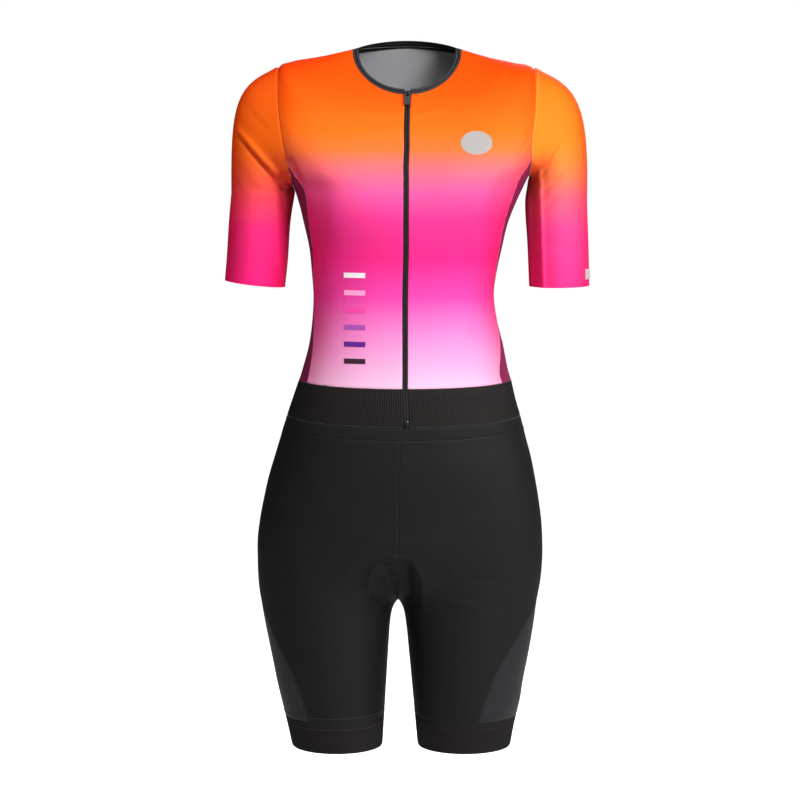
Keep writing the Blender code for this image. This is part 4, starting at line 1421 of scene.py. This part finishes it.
def sew_waist(name, station, finish):
    turn = zip_turn(ZIP_SLOT + 1, station)
    spots = [(at, station) for at in evenly(turn, 360 - turn, 300)]
    sewing(name, [line_on(trunk, spots, 0.1, TRUNK_STEPS)], finish, gap=0.4, width=0.9)


def build_sewing(cloths):
    """Seam stitches that show: armholes, side seams, waist, shorts panels and grippers."""
    for side in SIGN:
        sew_shirt(side, cloths)
        sew_shorts(side, cloths)
    sew_waist("stitches_waist_top", BAND_TOP + 0.04, cloths["maroon_thread"])
    sew_waist("stitches_waist_low", 17.93, cloths["black_thread"])


def build_metal(cloths):
    for node, finish in (("zip_slider", "metal"), ("zip_pull", "rubber")):
        frame["nodes"][node].data.materials.clear()
        frame["nodes"][node].data.materials.append(cloths[finish])


def declare_cloth():
    """Looks up each cut piece of cloth and the pieces that it rests on, by name; the sizes are not used."""
    for name, (width, length, area, rests_on) in CUTS.items():
        for side in SIGN if "SIDE" in name else ("",):
            bpy.data.objects[name.replace("SIDE", side)]
            [other.replace("SIDE", side) for other in rests_on]


def area_light(name, place, size, power):
    lamp = bpy.data.lights.new(name, "AREA")
    lamp.shape = "DISK"
    lamp.size = size
    lamp.energy = power
    made = bpy.data.objects.new(name, lamp)
    made.location = place
    made.rotation_mode = "QUATERNION"
    made.rotation_quaternion = (Vector(AIM) - Vector(place)).to_track_quat("-Z", "Y")
    bpy.context.scene.collection.objects.link(made)


def build_world(scene):
    """A dim even light, behind a white that only the camera sees."""
    world = bpy.data.worlds.new("studio")
    world.use_nodes = True
    scene.world = world
    tree = world.node_tree
    back = tree.nodes["Background"]
    back.inputs["Color"].default_value = (1, 1, 1, 1)
    back.inputs["Strength"].default_value = AMBIENT
    seen = tree.nodes.new("ShaderNodeBackground")
    seen.inputs["Strength"].default_value = 1.0
    seen.inputs["Color"].default_value = (1, 1, 1, 1)
    path = tree.nodes.new("ShaderNodeLightPath")
    mix = tree.nodes.new("ShaderNodeMixShader")
    tree.links.new(path.outputs["Is Camera Ray"], mix.inputs["Fac"])
    tree.links.new(back.outputs["Background"], mix.inputs[1])
    tree.links.new(seen.outputs["Background"], mix.inputs[2])
    tree.links.new(mix.outputs["Shader"], tree.nodes["World Output"].inputs["Surface"])


def build_floor(scene):
    mesh = bpy.data.meshes.new("floor")
    ring = [(FLOOR_REACH * math.cos(angle), FLOOR_REACH * math.sin(angle), FLOOR_AT)
            for angle in evenly(0, 2 * math.pi, FLOOR_SIDES)[:-1]]
    mesh.from_pydata(ring, [], [list(range(FLOOR_SIDES))])
    floor = bpy.data.objects.new("floor", mesh)
    pale = Shader("floor_pale", 0.9, 0.0)
    pale.colour(pale.shade("F4F4F4", pale.noise(0.6, 2.0), 0.98, 1.02))
    pale.set("Emission Color", (1, 1, 1, 1))
    seen = pale.node("ShaderNodeLightPath").outputs["Is Camera Ray"]
    pale.link(seen, pale.surface.inputs["Emission Strength"])
    mesh.materials.append(pale.material)
    scene.collection.objects.link(floor)


def build_camera(scene):
    data = bpy.data.cameras.new("camera")
    data.lens = CAMERA_LENS
    data.sensor_width = 36
    data.clip_end = 60
    camera = bpy.data.objects.new("camera", data)
    camera.location = CAMERA_AT
    camera.rotation_mode = "QUATERNION"
    camera.rotation_quaternion = Vector(CAMERA_WAY).to_track_quat("-Z", "Y")
    scene.collection.objects.link(camera)
    scene.camera = camera


def build_studio():
    scene = bpy.context.scene
    build_world(scene)
    for lamp in LAMPS:
        area_light(*lamp)
    build_floor(scene)
    scene.view_settings.view_transform = "Standard"
    build_camera(scene)


finishes = {
    "body": knit("shirt_outside", BODY_DYE, 0.62, specular=0.06),
    "sleeve_right": knit("sleeve_outside_right", RIGHT_SLEEVE_DYE, 0.62, specular=0.06),
    # The wearer's left sleeve carries painted light: its dye is painted lighter than the right sleeve's
    "sleeve_left": knit("sleeve_outside_left_painted_light", LEFT_SLEEVE_DYE_AND_PAINTED_LIGHT, 0.62, specular=0.06),
    "inside": knit("shirt_inside", "C2C2C5", 0.7, low=0.9, high=1.04),
    "cut": knit("shirt_cut_edge", "F0C8C0", 0.8),
    "plum": knit("plum_side", "8A1C50", 0.6, across=1.1, along=1.1, depth=0.25, low=0.7),
    "binding": knit("binding_knit", "201F22", 0.65, across=0.9),
    "tape": knit("black_tape", "0C0C0D", 0.7, specular=0.12),
    "zip_cloth": knit("zip_tape", "171417", 0.6, across=0.8, along=1.3, depth=0.2),
    "coil": moulded("zip_coil", "1C181B", 0.4),
    "shorts": knit("shorts_outside", "161618", 0.6, specular=0.12),
    "shorts_side": knit("shorts_side_outside", "1D1A1F", 0.5, specular=0.2),
    "shorts_inside": knit("shorts_inside", "1B1B1D", 0.75, specular=0.1),
    "band": knit("ribbed_band", "1A1716", 0.65, specular=0.12, across=1.45, along=0.9),
    "tag": knit("woven_tag", "BCB2B2", 0.8),
    "metal": moulded("slider_metal", "2C282A", 0.36, 0.7),
    "rubber": moulded("pull_rubber", "241E20", 0.5),
    "plastic": moulded("stop_plastic", "101011", 0.2, specular=0.6),
}
for tone, hex_colour in THREADS.items():
    finishes[tone + "_thread"] = thread(tone + "_thread", hex_colour)

build_shirt(finishes)
build_neck(finishes)
build_zip(finishes)
build_waist(finishes)
build_shorts(finishes)
build_tag(finishes)
build_prints()
build_sewing(finishes)
build_metal(finishes)
declare_cloth()
build_studio()
